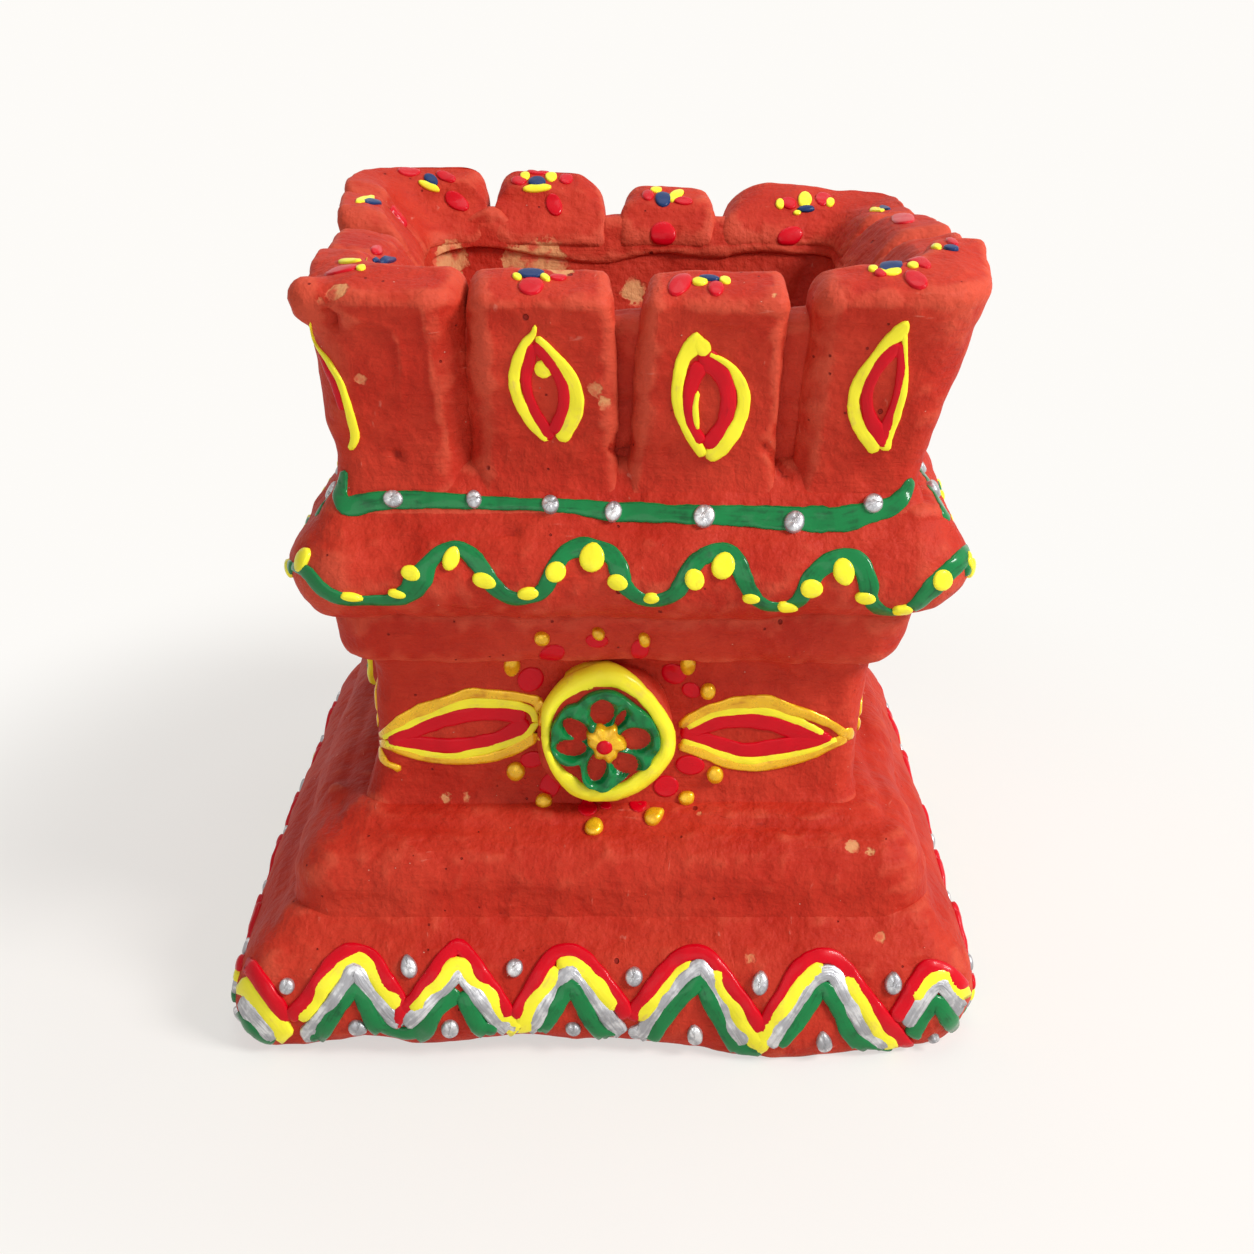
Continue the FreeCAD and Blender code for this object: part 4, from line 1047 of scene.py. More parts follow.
# the ropes of the front as the photograph shows them, from the left end to the right end
ROPES = {
    "red": [
        [(240, 972), (249, 966), (262, 982), (276, 1002), (288, 1022)],
        [(288, 1018), (306, 1000), (328, 968), (344, 953), (357, 951), (372, 957), (384, 976),
         (397, 996), (402, 1010), (391, 1026)],
        [(402, 1012), (416, 998), (438, 967), (452, 950), (460, 947), (470, 958), (484, 978),
         (500, 1000), (511, 1017)],
        [(513, 1018), (524, 1002), (542, 970), (556, 953), (576, 952), (590, 964), (606, 984),
         (620, 1002), (628, 1018)],
        [(629, 1019), (644, 997), (662, 974), (678, 958), (694, 952), (708, 956), (724, 976),
         (741, 999), (757, 1022), (761, 1034)],
        [(761, 1034), (772, 1012), (786, 988), (798, 968), (814, 957), (832, 957), (846, 970),
         (858, 986), (873, 1005), (890, 1026), (909, 1049)],
        [(893, 1020), (904, 1003), (916, 982), (927, 967), (942, 970), (955, 980), (963, 990)],
    ],
    "yellow": [
        [(240, 982), (252, 990), (268, 1010), (284, 1032), (292, 1038)],
        [(297, 1018), (308, 1005), (324, 985), (340, 966), (354, 959), (366, 964), (378, 978),
         (392, 995), (399, 1010)],
        [(412, 1013), (424, 1000), (440, 980), (454, 967), (464, 968), (476, 981), (492, 1000),
         (504, 1014), (520, 1030), (528, 1012), (542, 990), (557, 967)],
        [(557, 968), (572, 963), (588, 973), (604, 991), (618, 1008)],
        [(638, 1020), (652, 1004), (668, 989), (684, 973), (696, 965)],
        [(712, 966), (724, 988), (738, 1010), (752, 1032), (759, 1044), (768, 1030), (782, 1012),
         (798, 989), (812, 975), (826, 968)],
        [(844, 972), (856, 990), (870, 1012), (884, 1033), (892, 1049)],
        [(913, 1001), (922, 987), (934, 976), (948, 978), (958, 990), (963, 1002)],
    ],
    "silver": [
        [(239, 998), (252, 1012), (266, 1028), (277, 1040)],
        [(302, 1038), (316, 1024), (332, 1004), (344, 986), (354, 970), (366, 984), (378, 1000),
         (390, 1013), (404, 1025)],
        [(404, 1024), (420, 1010), (438, 993), (452, 978), (460, 973), (470, 985), (486, 1006),
         (502, 1024), (524, 1031)],
        [(524, 1031), (536, 1018), (548, 1000), (560, 982), (572, 970), (586, 984), (604, 1010),
         (624, 1035)],
        [(628, 1036), (644, 1030), (658, 1010), (672, 993), (686, 977), (702, 966), (714, 985),
         (730, 1019), (746, 1044)],
        [(768, 1046), (780, 1028), (794, 1006), (808, 985), (820, 974), (834, 975), (848, 1002),
         (868, 1032), (887, 1050)],
        [(905, 1026), (916, 1008), (928, 990), (940, 983), (952, 997), (963, 1014)],
    ],
    "green": [
        [(237, 1010), (248, 1026), (262, 1040), (276, 1042)],
        [(308, 1040), (322, 1030), (340, 1004), (356, 988), (366, 1004), (378, 1024), (402, 1036),
         (424, 1030), (433, 1013), (446, 1001), (460, 992)],
        [(462, 991), (470, 1008), (480, 1026), (498, 1033)],
        [(534, 1032), (546, 1020), (558, 1003), (571, 987), (581, 1000), (594, 1023), (616, 1041)],
        [(650, 1040), (662, 1019), (676, 1002), (690, 989), (701, 981), (710, 1000), (724, 1024),
         (742, 1050), (762, 1052)],
        [(776, 1044), (790, 1030), (804, 1011), (822, 989), (838, 1006), (850, 1032), (870, 1050),
         (893, 1055)],
        [(911, 1037), (920, 1019), (935, 1003), (948, 1018), (960, 1036)],
    ],
}
ROPE_WIDTHS = {"red": 13.5, "yellow": 17, "silver": 14.5, "green": 15.5}
# heights of the peaks and of the valleys where the ropes go on round the other three sides
ROPE_HEIGHTS = {"red": (14.6, 6.0), "yellow": (12.2, 3.7), "silver": (9.8, 2.4), "green": (7.4, 1.7)}
ROPE_PERIODS = 18
ROPE_START, ROPE_END = SKIRT_REACH + 5, 7 * SKIRT_REACH - 4
ROPE_THICKNESS = 1.0
ROPE_RUNS = 16
SIDE_ROPE_WIDTHS = 3.1, 3.6
TURN_ERROR, HEIGHT_ERRORS, LOWEST_TURN = 0.8, (-0.9, 0.7), 1.5
chance = Random(5)
rope_turns = []  # place along the skirt, whether it is a peak, and the hand's error in height
for number in range(1, 2 * ROPE_PERIODS + 1):
    share = (number / 2 - 0.25) / (ROPE_PERIODS - 0.25)
    place = ROPE_START + (ROPE_END - ROPE_START) * share + chance.uniform(-TURN_ERROR, TURN_ERROR)
    rope_turns.append((place, number % 2 == 0, chance.uniform(*HEIGHT_ERRORS)))

for colour, paint, slot in (
    ("green", green, "paint_green"), ("silver", silver, "paint_silver"),
    ("yellow", yellow, "paint_yellow"), ("red", crimson, "paint_crimson"),
):
    pot = new_pot()
    width = ROPE_WIDTHS[colour]
    for rope in ROPES[colour]:
        brush(pot, seen_line([(u, v, width) for u, v in rope]), ROPE_THICKNESS)
    peak, valley = ROPE_HEIGHTS[colour]
    knots = [(ROPE_START, (peak + valley) / 2)]
    for place, is_peak, error in rope_turns:
        knots.append((place, max(LOWEST_TURN, (peak if is_peak else valley) + error)))
    for one, other in zip(knots, knots[1:]):
        run = np.linspace(one, other, ROPE_RUNS)
        places = [beside(a, z, SKIRT_CORNER, SKIRT_REACH) for a, z in run]
        brush(pot, ribbon(places, chance.uniform(*SIDE_ROPE_WIDTHS)), ROPE_THICKNESS)
    finish_paint(f"zigzag_{colour}", pot, paint, slot)

# Silver beads round the zigzag: drops let fall from the paint cone in the open places above
# and below the ropes. Some keep the little tail of the cone.

UPPER_BEADS = (  # middle, half width and half height in pixels, and how long its tail is
    (287, 986, 8, 8.5, 0), (409, 968, 8.5, 11, 0.35), (514.5, 968, 8.5, 10, 0), (634, 977, 9, 10, 0.1),
    (760, 984, 8.5, 12, 0.2), (893, 984, 8.5, 11, 0.2),
)
LOWER_BEADS = (  # likewise
    (358, 1027, 10, 7, 0), (450, 1028, 9, 8, 0), (573, 1028, 8, 5.5, 0), (695, 1035, 8, 8.5, 0.2),
    (824, 1043, 8, 9, 0.25), (934, 1042, 8, 8, 0.2),
)
SKIRT_BEAD_THICKNESS, SIDE_BEAD_THICKNESS = 1.3, 0.9
UPPER_BEAD_HEIGHT, LOWER_BEAD_HEIGHT, BEAD_FOLLOWS = 10.4, 3.2, 0.5
SIDE_BEAD_WIDE, SIDE_BEAD_HIGH, SIDE_BEAD_TAIL = (1.6, 2.1), (1.4, 1.8), 0.35
BEAD_TURN = 15


def side_dab(pot, along, z, wide, high, thickness, corner, reach, turn=0.0, dome=0.5, tip=0.0):
    """A dab on a side that the photograph doesn't show, its sizes in millimetres."""
    middle = beside(along, z, corner, reach)
    outward = clay_skin.find_nearest(middle)[1]
    level = Vector((0, 0, 1)).cross(outward).normalized()
    steep = outward.cross(level)
    turned = radians(turn)
    outline = []
    for a, b in dab_shape(wide, high, tip):
        place = middle + level * (a * cos(turned) - b * sin(turned))
        place += steep * (a * sin(turned) + b * cos(turned))
        outline.append(clay_skin.find_nearest(place)[0])
    dab(pot, outline, thickness, dome)


for node, beads, under_peaks, height in (
    ("zigzag_beads_upper", UPPER_BEADS, False, UPPER_BEAD_HEIGHT),
    ("zigzag_beads_lower", LOWER_BEADS, True, LOWER_BEAD_HEIGHT),
):
    pot = new_pot()
    for u, v, wide, high, tip in beads:
        turn = 90 + chance.uniform(-BEAD_TURN, BEAD_TURN)
        seen_dab(pot, u, v, high, wide, SKIRT_BEAD_THICKNESS, turn, tip=tip)
    for place, is_peak, error in rope_turns:
        if is_peak == under_peaks:
            side_dab(pot, place, height + error * BEAD_FOLLOWS, chance.uniform(*SIDE_BEAD_WIDE),
                     chance.uniform(*SIDE_BEAD_HIGH), SIDE_BEAD_THICKNESS, SKIRT_CORNER, SKIRT_REACH,
                     90, tip=chance.uniform(0, SIDE_BEAD_TAIL))
    finish_paint(node, pot, silver, "paint_silver")

# Green band: a broad flat brush line round the shoulder under the petals, with swirled silver
# drops set on it.

BAND_SEEN = (  # pixel, and how wide the line is there
    (345, 470, 6), (342, 486, 9), (341, 498, 13), (350, 506, 17), (379, 501, 16), (427, 500, 15),
    (487, 503, 12), (544, 505, 11), (578, 507, 13), (613, 512, 17), (638, 512, 17), (676, 514, 16),
    (745, 516, 19), (779, 518, 20), (814, 519, 22), (843, 519, 22), (871, 512, 18), (892, 506, 16),
    (905, 493, 12), (911, 478, 7),
)
BAND_HEIGHT, BAND_WIDTH = 99.6, 3.2
BAND_START, BAND_END = SHOULDER_REACH + 2, 7 * SHOULDER_REACH - 2
BAND_BEADS = (  # middle and half-sizes in pixels
    (393.6, 499.5, 9, 10.5), (474, 500, 8, 9.5), (550.4, 505, 9, 9.5), (613, 512, 10.5, 9),
    (704, 516.7, 12, 11), (794, 523, 11.5, 10.5), (873, 504, 10, 10),
)
BAND_BEADS_BEHIND, BEAD_MARGIN = 21, 4
BAND_THICKNESS, BAND_BEAD_THICKNESS, BAND_BEAD_DOME = 0.5, 1.3, 0.4
BAND_BEAD_WIDE, BAND_BEAD_HIGH, BAND_BEAD_SHIFT = (1.6, 2), (1.5, 1.9), 1
BAND_WANDER, BAND_WANDER_LENGTH = 1.6, 19
BAND_UNEVEN, BAND_UNEVEN_LENGTH = 0.35, 11


def band_height(place):
    """The band's height on the unseen sides, where the brush wanders up and down."""
    return BAND_HEIGHT + BAND_WANDER * noise.noise(Vector((place / BAND_WANDER_LENGTH, 3, 0)))


pot = new_pot()
brush(pot, seen_line(BAND_SEEN), BAND_THICKNESS)
line = np.arange(BAND_START, BAND_END, 1.0)
places = [beside(a, band_height(a), SHOULDER_CORNER, SHOULDER_REACH) for a in line]
widths = [
    BAND_WIDTH * (1 + BAND_UNEVEN * noise.noise(Vector((a / BAND_UNEVEN_LENGTH, 8, 0)))) for a in line
]
brush(pot, ribbon(places, widths), BAND_THICKNESS)
finish_paint("band_green", pot, green, "paint_green")

pot = new_pot()
for u, v, wide, high in BAND_BEADS:
    seen_dab(pot, u, v, wide, high, BAND_BEAD_THICKNESS, chance.uniform(0, 90), BAND_BEAD_DOME)
for number in range(BAND_BEADS_BEHIND):
    share = (number + 0.5) / BAND_BEADS_BEHIND
    place = BAND_START + BEAD_MARGIN + (BAND_END - BAND_START - 2 * BEAD_MARGIN) * share
    place += chance.uniform(-BAND_BEAD_SHIFT, BAND_BEAD_SHIFT)
    side_dab(pot, place, band_height(place), chance.uniform(*BAND_BEAD_WIDE),
             chance.uniform(*BAND_BEAD_HIGH), BAND_BEAD_THICKNESS, SHOULDER_CORNER, SHOULDER_REACH,
             dome=BAND_BEAD_DOME)
finish_paint("band_beads_silver", pot, silver, "paint_silver")

# Vine: a wavy green line round the fattest part of the cushion, with bright yellow leaves
# dropped on it, the biggest on the crests.

VINE_SEEN = (  # pixel, and how wide the line is there
    (292, 566, 6), (306, 571, 9), (321, 588, 10), (337, 597, 9), (354, 600, 7), (372, 600, 7),
    (392, 599, 9), (408, 592, 16), (420, 578, 19), (430, 562, 11), (442, 551, 10), (454, 547, 9),
    (468, 553, 12), (480, 566, 14), (493, 585, 12), (510, 597, 10), (528, 598, 8), (544, 589, 12),
    (555, 567, 12), (567, 552, 13), (588, 547, 14), (611, 555, 13), (620, 572, 15), (625, 586, 12),
    (640, 598, 9), (658, 600, 8), (676, 592, 12), (689, 571, 13), (701, 558, 13), (722, 551, 13),
    (736, 560, 14), (743, 576, 14), (752, 594, 12), (766, 605, 8), (787, 606, 7), (801, 597, 11),
    (811, 579, 14), (825, 565, 14), (844, 557, 14), (860, 564, 15), (868, 582, 15), (872, 602, 11),
    (888, 612, 7), (910, 608, 8), (930, 590, 13), (950, 570, 14), (968, 553, 13), (976, 545, 8),
)
VINE_LEAVES = (  # middle and half-sizes in pixels, and turn
    (302, 560, 14, 6, 70), (351, 596, 12, 3.5, -8), (397, 593, 10, 4, -10),
    (411, 573, 10.5, 8, -25), (451, 559, 12.5, 8.5, 70), (484, 580, 12.5, 8, -20),
    (528, 593, 11, 6, 4), (555.5, 572, 11.5, 10.5, 60), (592, 558, 14.5, 13, 80),
    (617.5, 582, 10.5, 8.5, -15), (651, 597.5, 8, 4.5, 0), (694, 579, 12, 10, -70),
    (723, 566, 14, 12, 75), (751, 597.5, 9, 5, -5), (787, 606, 10.5, 4.5, -3),
    (811, 588, 11.5, 10, 0), (843.5, 571, 14.5, 11, -75), (865, 597, 10.5, 6, -3),
    (902, 609, 10.5, 4.5, 8), (942, 580, 11.5, 10, 65), (972, 560, 12, 3.8, -75),
)
VINE_CREST, VINE_TROUGH, VINE_WAVES = 90.8, 84.6, 15
VINE_START, VINE_END = CUSHION_REACH + 2, 7 * CUSHION_REACH - 2
VINE_STEPS, VINE_WIDTH, VINE_THICKNESS = 620, 2.5, 0.55
VINE_UNEVEN, VINE_UNEVEN_LENGTH = 0.3, 7
VINE_WIDER = 1.15
LEAF_THICKNESS, LEAF_DOME = 0.9, 0.35
LEAF_SLIDE, LEAF_TURN, LEAF_TIP = 0.1, 30, 0.15
CREST_LEAF, CREST_ROUND = (1.9, 2.4), 0.85  # half length, and its breadth as a share of that
TROUGH_LEAF, TROUGH_ROUND = (1.4, 1.9), 0.55


def vine_height(share):
    """The vine's height on the unseen sides, with a crest on each corner."""
    wave = cos(2 * pi * share * VINE_WAVES)
    return (VINE_CREST + VINE_TROUGH) / 2 + (VINE_CREST - VINE_TROUGH) / 2 * wave


pot, leaves = new_pot(), new_pot()
brush(pot, seen_line(VINE_SEEN, VINE_WIDER), VINE_THICKNESS)
shares = np.linspace(0, 1, VINE_STEPS)
line = VINE_START + (VINE_END - VINE_START) * shares
places = [beside(a, vine_height(share), CUSHION_CORNER, CUSHION_REACH) for a, share in zip(line, shares)]
widths = [
    VINE_WIDTH * (1 + VINE_UNEVEN * noise.noise(Vector((a / VINE_UNEVEN_LENGTH, 5, 0)))) for a in line
]
brush(pot, ribbon(places, widths), VINE_THICKNESS)
for u, v, wide, high, turn in VINE_LEAVES:
    seen_dab(leaves, u, v, wide, high, LEAF_THICKNESS, turn, LEAF_DOME, chance.uniform(0, LEAF_TIP))
for number in range(VINE_WAVES * 4):
    share = (number + 0.5 + chance.uniform(-LEAF_SLIDE, LEAF_SLIDE)) / (VINE_WAVES * 4)
    on_crest = cos(2 * pi * share * VINE_WAVES) > 0
    sizes, roundness = (CREST_LEAF, CREST_ROUND) if on_crest else (TROUGH_LEAF, TROUGH_ROUND)
    size = chance.uniform(*sizes)
    side_dab(leaves, VINE_START + (VINE_END - VINE_START) * share, vine_height(share), size,
             size * roundness, LEAF_THICKNESS, CUSHION_CORNER, CUSHION_REACH,
             chance.uniform(-LEAF_TURN, LEAF_TURN), LEAF_DOME, chance.uniform(0, LEAF_TIP))
finish_paint("vine_green", pot, green, "paint_green")
finish_paint("vine_beads_yellow", leaves, yellow, "paint_yellow")

# Eyes on the merlons: an almond of two yellow brush strokes, with two crimson strokes inside
# it and bare clay in the middle. Three of them face each way.

EYES_SEEN = {
    "yellow": (
        ((535, 325, 3), (533, 334, 5), (524, 345, 8), (517, 362, 9), (514, 380, 9), (518, 398, 9),
         (527, 416, 9), (538, 430, 8), (549, 440, 6)),
        ((536, 337, 5), (548, 348, 6), (560, 362, 8), (570, 378, 11), (576, 396, 12), (574, 414, 12),
         (566, 430, 13), (560, 441, 12)),
        ((534, 367, 12), (543, 369, 13), (552, 374, 10)),
        ((697, 332, 4), (694, 344, 14), (684, 358, 11), (679, 376, 10), (677, 396, 9), (681, 414, 9),
         (688, 430, 9), (697, 445, 9), (704, 456, 8)),
        ((708, 353, 4), (728, 364, 5), (738, 378, 9), (744, 396, 10), (741, 416, 11), (732, 434, 12),
         (720, 448, 13), (706, 458, 10)),
        ((698, 391, 3), (695, 406, 5), (696, 420, 5), (698, 430, 2)),
        ((310, 322, 1.5), (317, 345, 2), (330, 363, 3.5), (342, 386, 4.5), (351, 418, 6.5),
         (355, 437, 7), (350, 450, 5)),
        ((698, 334, 4), (699, 342, 11), (703, 348, 13), (709, 355, 6)),
        ((908, 321, 3), (900, 332, 12), (886, 343, 8), (874, 358, 7), (862, 376, 9), (854, 396, 9),
         (855, 416, 10), (864, 434, 11), (878, 451, 12)),
        ((904, 332, 5), (905, 350, 4), (905, 372, 5), (902, 394, 8), (896, 414, 8), (889, 434, 8),
         (882, 450, 12)),
    ),
    "red": (
        ((531, 343, 9), (530, 358, 10), (526, 376, 9), (528, 394, 8), (535, 412, 8), (544, 426, 9),
         (551, 440, 9)),
        ((534, 342, 9), (545, 353, 12), (556, 368, 11), (563, 386, 10), (564, 404, 9), (559, 420, 10),
         (552, 434, 11)),
        ((698, 362, 14), (708, 360, 16), (718, 366, 14)),
        ((893, 356, 12), (897, 352, 14), (900, 350, 8)),
        ((702, 362, 14), (694, 378, 12), (689, 396, 10), (689, 412, 10), (693, 428, 9), (702, 444, 12)),
        ((702, 359, 16), (718, 370, 15), (727, 388, 13), (728, 406, 12), (723, 424, 12), (714, 438, 13),
         (704, 447, 12)),
        ((319, 352, 3), (327, 368, 4), (336, 388, 5), (343, 410, 4)),
        ((899, 342, 8), (888, 354, 11), (876, 370, 10), (868, 388, 9), (867, 404, 9), (871, 420, 12),
         (879, 436, 14), (882, 446, 6)),
        ((900, 342, 8), (902, 360, 8), (900, 380, 7), (896, 398, 7), (891, 416, 9), (884, 434, 10),
         (882, 448, 5)),
    ),
}
EYE_MIDDLES = {"right": (-16, 12, 38.5), "back": (-6.5, 18.6, 42), "left": (-16, 12)}
EYE_HEIGHT = 120.6
EYE_LONG, EYE_BROAD = 10.0, 5.0  # half-sizes of the yellow almond's middle line
EYE_BOWS = (("yellow", 1.0, 2.0), ("red", 0.66, 2.3))  # how large beside the yellow, and width
EYE_LONGER, EYE_THICKNESS, EYE_WIDER = 0.1, 0.5, 1.1
EYE_LEAN, EYE_SWELL, EYE_WIDTHS = 0.12, (0.9, 1.05), (0.8, 1.15)
ALMOND_STEPS, ALMOND_BOW = 26, 0.8


def almond_line(long, broad, side, lean):
    """One of the two bows of an upright almond, as offsets sideways and up."""
    shares = np.linspace(0, 1, ALMOND_STEPS)
    bow = [(side * broad * sin(pi * t) ** ALMOND_BOW, long * cos(pi * t)) for t in shares]
    return [(a * cos(lean) + b * sin(lean), b * cos(lean) - a * sin(lean)) for a, b in bow]


pots = {"yellow": new_pot(), "red": new_pot()}
for colour, strokes in EYES_SEEN.items():
    for stroke in strokes:
        brush(pots[colour], seen_line(stroke, EYE_WIDER), EYE_THICKNESS)
for side, middles in EYE_MIDDLES.items():
    for middle in middles:
        lean, swell = chance.uniform(-EYE_LEAN, EYE_LEAN), chance.uniform(*EYE_SWELL)
        start = middle + 2 * CROWN_REACH * SIDES.index(side)
        for colour, shrink, width in EYE_BOWS:
            long, broad = EYE_LONG * swell * (shrink + EYE_LONGER), EYE_BROAD * swell * shrink
            for hand in (-1, 1):
                line = almond_line(long, broad, hand, lean)
                places = [beside(start + a, EYE_HEIGHT + b, CROWN_CORNER, CROWN_REACH) for a, b in line]
                widths = width * chance.uniform(*EYE_WIDTHS)
                brush(pots[colour], ribbon(places, widths), EYE_THICKNESS)
finish_paint("merlon_eye_yellow", pots["yellow"], yellow, "paint_yellow")
finish_paint("merlon_eye_red", pots["red"], crimson, "paint_crimson")

# Leaves on the waist: lying almonds left and right of each medallion, gold outside, then pale
# yellow, then crimson round bare clay. On the front a gold tail runs on to each corner.

LEAVES_SEEN = {
    "gold": (
        ((380, 737, 6), (388, 730, 6), (400, 722, 9), (417, 712, 10), (434, 706, 9), (452, 699, 8),
         (470, 693, 8), (488, 694, 7), (507, 695, 7), (526, 698, 6), (538, 702, 8), (542, 714, 7),
         (541, 726, 6)),
        ((380, 742, 6), (391, 746, 6), (406, 752, 6), (424, 757, 6), (446, 760, 6), (468, 760, 6),
         (492, 757, 7), (510, 751, 8), (526, 743, 8), (540, 735, 8)),
        ((380, 746, 3), (382, 756, 5), (387, 763, 4), (394, 766, 4), (401, 770, 6)),
        ((679, 727, 5), (688, 720, 8), (703, 713, 9), (718, 708, 9), (735, 703, 9), (752, 702, 10),
         (770, 702, 10), (786, 708, 9), (804, 713, 8), (820, 719, 7), (834, 726, 6), (847, 736, 7)),
        ((678, 745, 7), (692, 749, 8), (708, 755, 8), (724, 762, 7), (742, 766, 7), (762, 766, 7),
         (784, 762, 7), (806, 756, 7), (828, 746, 7), (847, 737, 7)),
        ((843, 738, 8), (848, 734, 10), (852, 728, 6)),
    ),
    "yellow": (
        ((382, 738, 4), (394, 732, 5), (408, 725, 6), (424, 717, 6), (440, 711, 7), (458, 705, 7),
         (476, 703, 8), (496, 703, 7), (516, 705, 6), (532, 711, 6), (536, 723, 5)),
        ((384, 743, 5), (404, 748, 6), (424, 753, 6), (446, 755, 6), (468, 753, 7), (490, 748, 7),
         (510, 742, 6), (526, 734, 6), (536, 724, 5)),
        ((686, 728, 5), (698, 721, 6), (714, 715, 6), (730, 711, 7), (752, 710, 7), (776, 713, 6),
         (796, 720, 7), (812, 729, 7), (824, 735, 5)),
        ((681, 741, 6), (696, 745, 6), (712, 751, 6), (730, 757, 7), (752, 760, 7), (776, 758, 7),
         (800, 752, 6), (822, 745, 5), (838, 739, 4)),
    ),
    "red": (
        ((388, 740, 5), (404, 735, 10), (424, 727, 11), (444, 720, 11), (466, 715, 11), (490, 713, 11),
         (512, 714, 12), (526, 719, 13)),
        ((388, 741, 6), (408, 744, 11), (430, 745, 12), (454, 746, 12), (478, 744, 12), (500, 738, 12),
         (516, 730, 13), (528, 720, 10)),
        ((680, 732, 8), (694, 731, 8), (708, 726, 10), (724, 721, 11), (744, 720, 12), (766, 722, 12),
         (786, 728, 12), (806, 734, 11), (830, 737, 6)),
        ((680, 733, 6), (698, 737, 10), (714, 743, 12), (732, 749, 12), (752, 750, 11), (776, 747, 12),
         (798, 743, 12), (818, 740, 9), (832, 737, 4)),
    ),
}
LEAF_MIDDLE, LEAF_LONG = 27.6, 14.2
LEAF_STROKE_THICKNESS, LEAF_WIDER = 0.45, 1.15
LEAF_LEAN, LEAF_RISE, LEAF_WIDTHS = 0.06, (-0.6, 0.8), (0.85, 1.2)
LEAF_BOWS = (  # half breadth, share of the full length, width of the stroke, and thickness
    ("gold", 5.6, 1.0, 1.3, 0.45), ("yellow", 4.3, 0.86, 1.3, 0.4), ("red", 2.7, 0.76, 2.0, 0.4),
)

pots = {"gold": new_pot(), "yellow": new_pot(), "red": new_pot()}
for colour, strokes in LEAVES_SEEN.items():
    for stroke in strokes:
        brush(pots[colour], seen_line(stroke, LEAF_WIDER), LEAF_STROKE_THICKNESS)
for quarter in range(1, 4):
    for hand in (-1, 1):
        lean = pi / 2 + chance.uniform(-LEAF_LEAN, LEAF_LEAN)
        middle = 2 * WAIST_REACH * quarter + hand * LEAF_MIDDLE + MEDALLION_SHIFTS[SIDES[quarter]]
        height = MEDALLION_HEIGHT + chance.uniform(*LEAF_RISE)
        for colour, broad, shorten, width, thickness in LEAF_BOWS:
            for side in (-1, 1):
                line = almond_line(LEAF_LONG * shorten, broad, side, lean)
                places = [beside(middle + a, height + b, WAIST_CORNER, WAIST_REACH) for a, b in line]
                brush(pots[colour], ribbon(places, width * chance.uniform(*LEAF_WIDTHS)), thickness)
finish_paint("waist_leaf_gold", pots["gold"], gold, "paint_gold")
finish_paint("waist_leaf_yellow", pots["yellow"], yellow, "paint_yellow")
finish_paint("waist_leaf_red", pots["red"], crimson, "paint_crimson")

# Halo round each medallion: flat crimson dabs in a ring, and outside them round gold beads,
# some of them with the point that the paint cone leaves.

HALO_DABS_SEEN = (  # middle and half-sizes in pixels, and turn
    (552, 654, 13, 8, 8), (530.5, 679.5, 14, 12, 20), (597, 640.5, 12, 7, -4),
    (640, 649, 10, 9, 40), (674, 673, 13, 10.5, -15), (691, 690, 10, 7.5, -20),
    (690, 765, 15, 10, -5), (666, 786, 13, 11, 0), (638, 803, 9, 10, 0), (532, 759.5, 12, 8, 0),
    (550.5, 785, 10.5, 11, 0), (587.5, 808, 10, 9, 0), (606, 806, 6, 4, 0),
)
HALO_BEADS_SEEN = (  # middle and half-sizes in pixels, and how long its point is
    (542, 638, 8, 6.5, 0), (512, 665, 8.5, 8.5, 0), (598.5, 633, 7, 5.5, 0), (515.9, 771, 9.5, 9.5, 0),
    (543.7, 801, 8.5, 8.5, 0), (594, 828, 10, 9, 0), (644.5, 639, 7, 5.5, 0), (688, 664, 8, 8, 0),
    (708, 691, 8, 8, 0), (715, 774.5, 8.5, 9, 0), (686, 798, 8, 8.5, 0.2), (652.7, 817, 9, 8.5, 0.5),
)
HALO_DAB_RING, HALO_BEAD_RING, HALO_COUNT = 15.2, 18.6, 12
FLAT_ABOVE, FLAT_SHARE = 0.6, 0.86  # the ring is flatter over and under the disc
HALO_DAB_THICKNESS, HALO_DAB_DOME = 0.3, 0.3
HALO_BEAD_THICKNESS, HALO_BEAD_DOME = 1.3, 0.7
HALO_ERROR, SIDE_HALO_WIDE, SIDE_HALO_HIGH = 0.06, (1.7, 2.4), (1.3, 1.8)
SIDE_HALO_BEAD = (1.55, 1.5, 1.5)  # half-sizes and thickness
SIDE_HALO_DOME, SIDE_HALO_TIP = 0.85, 0.25

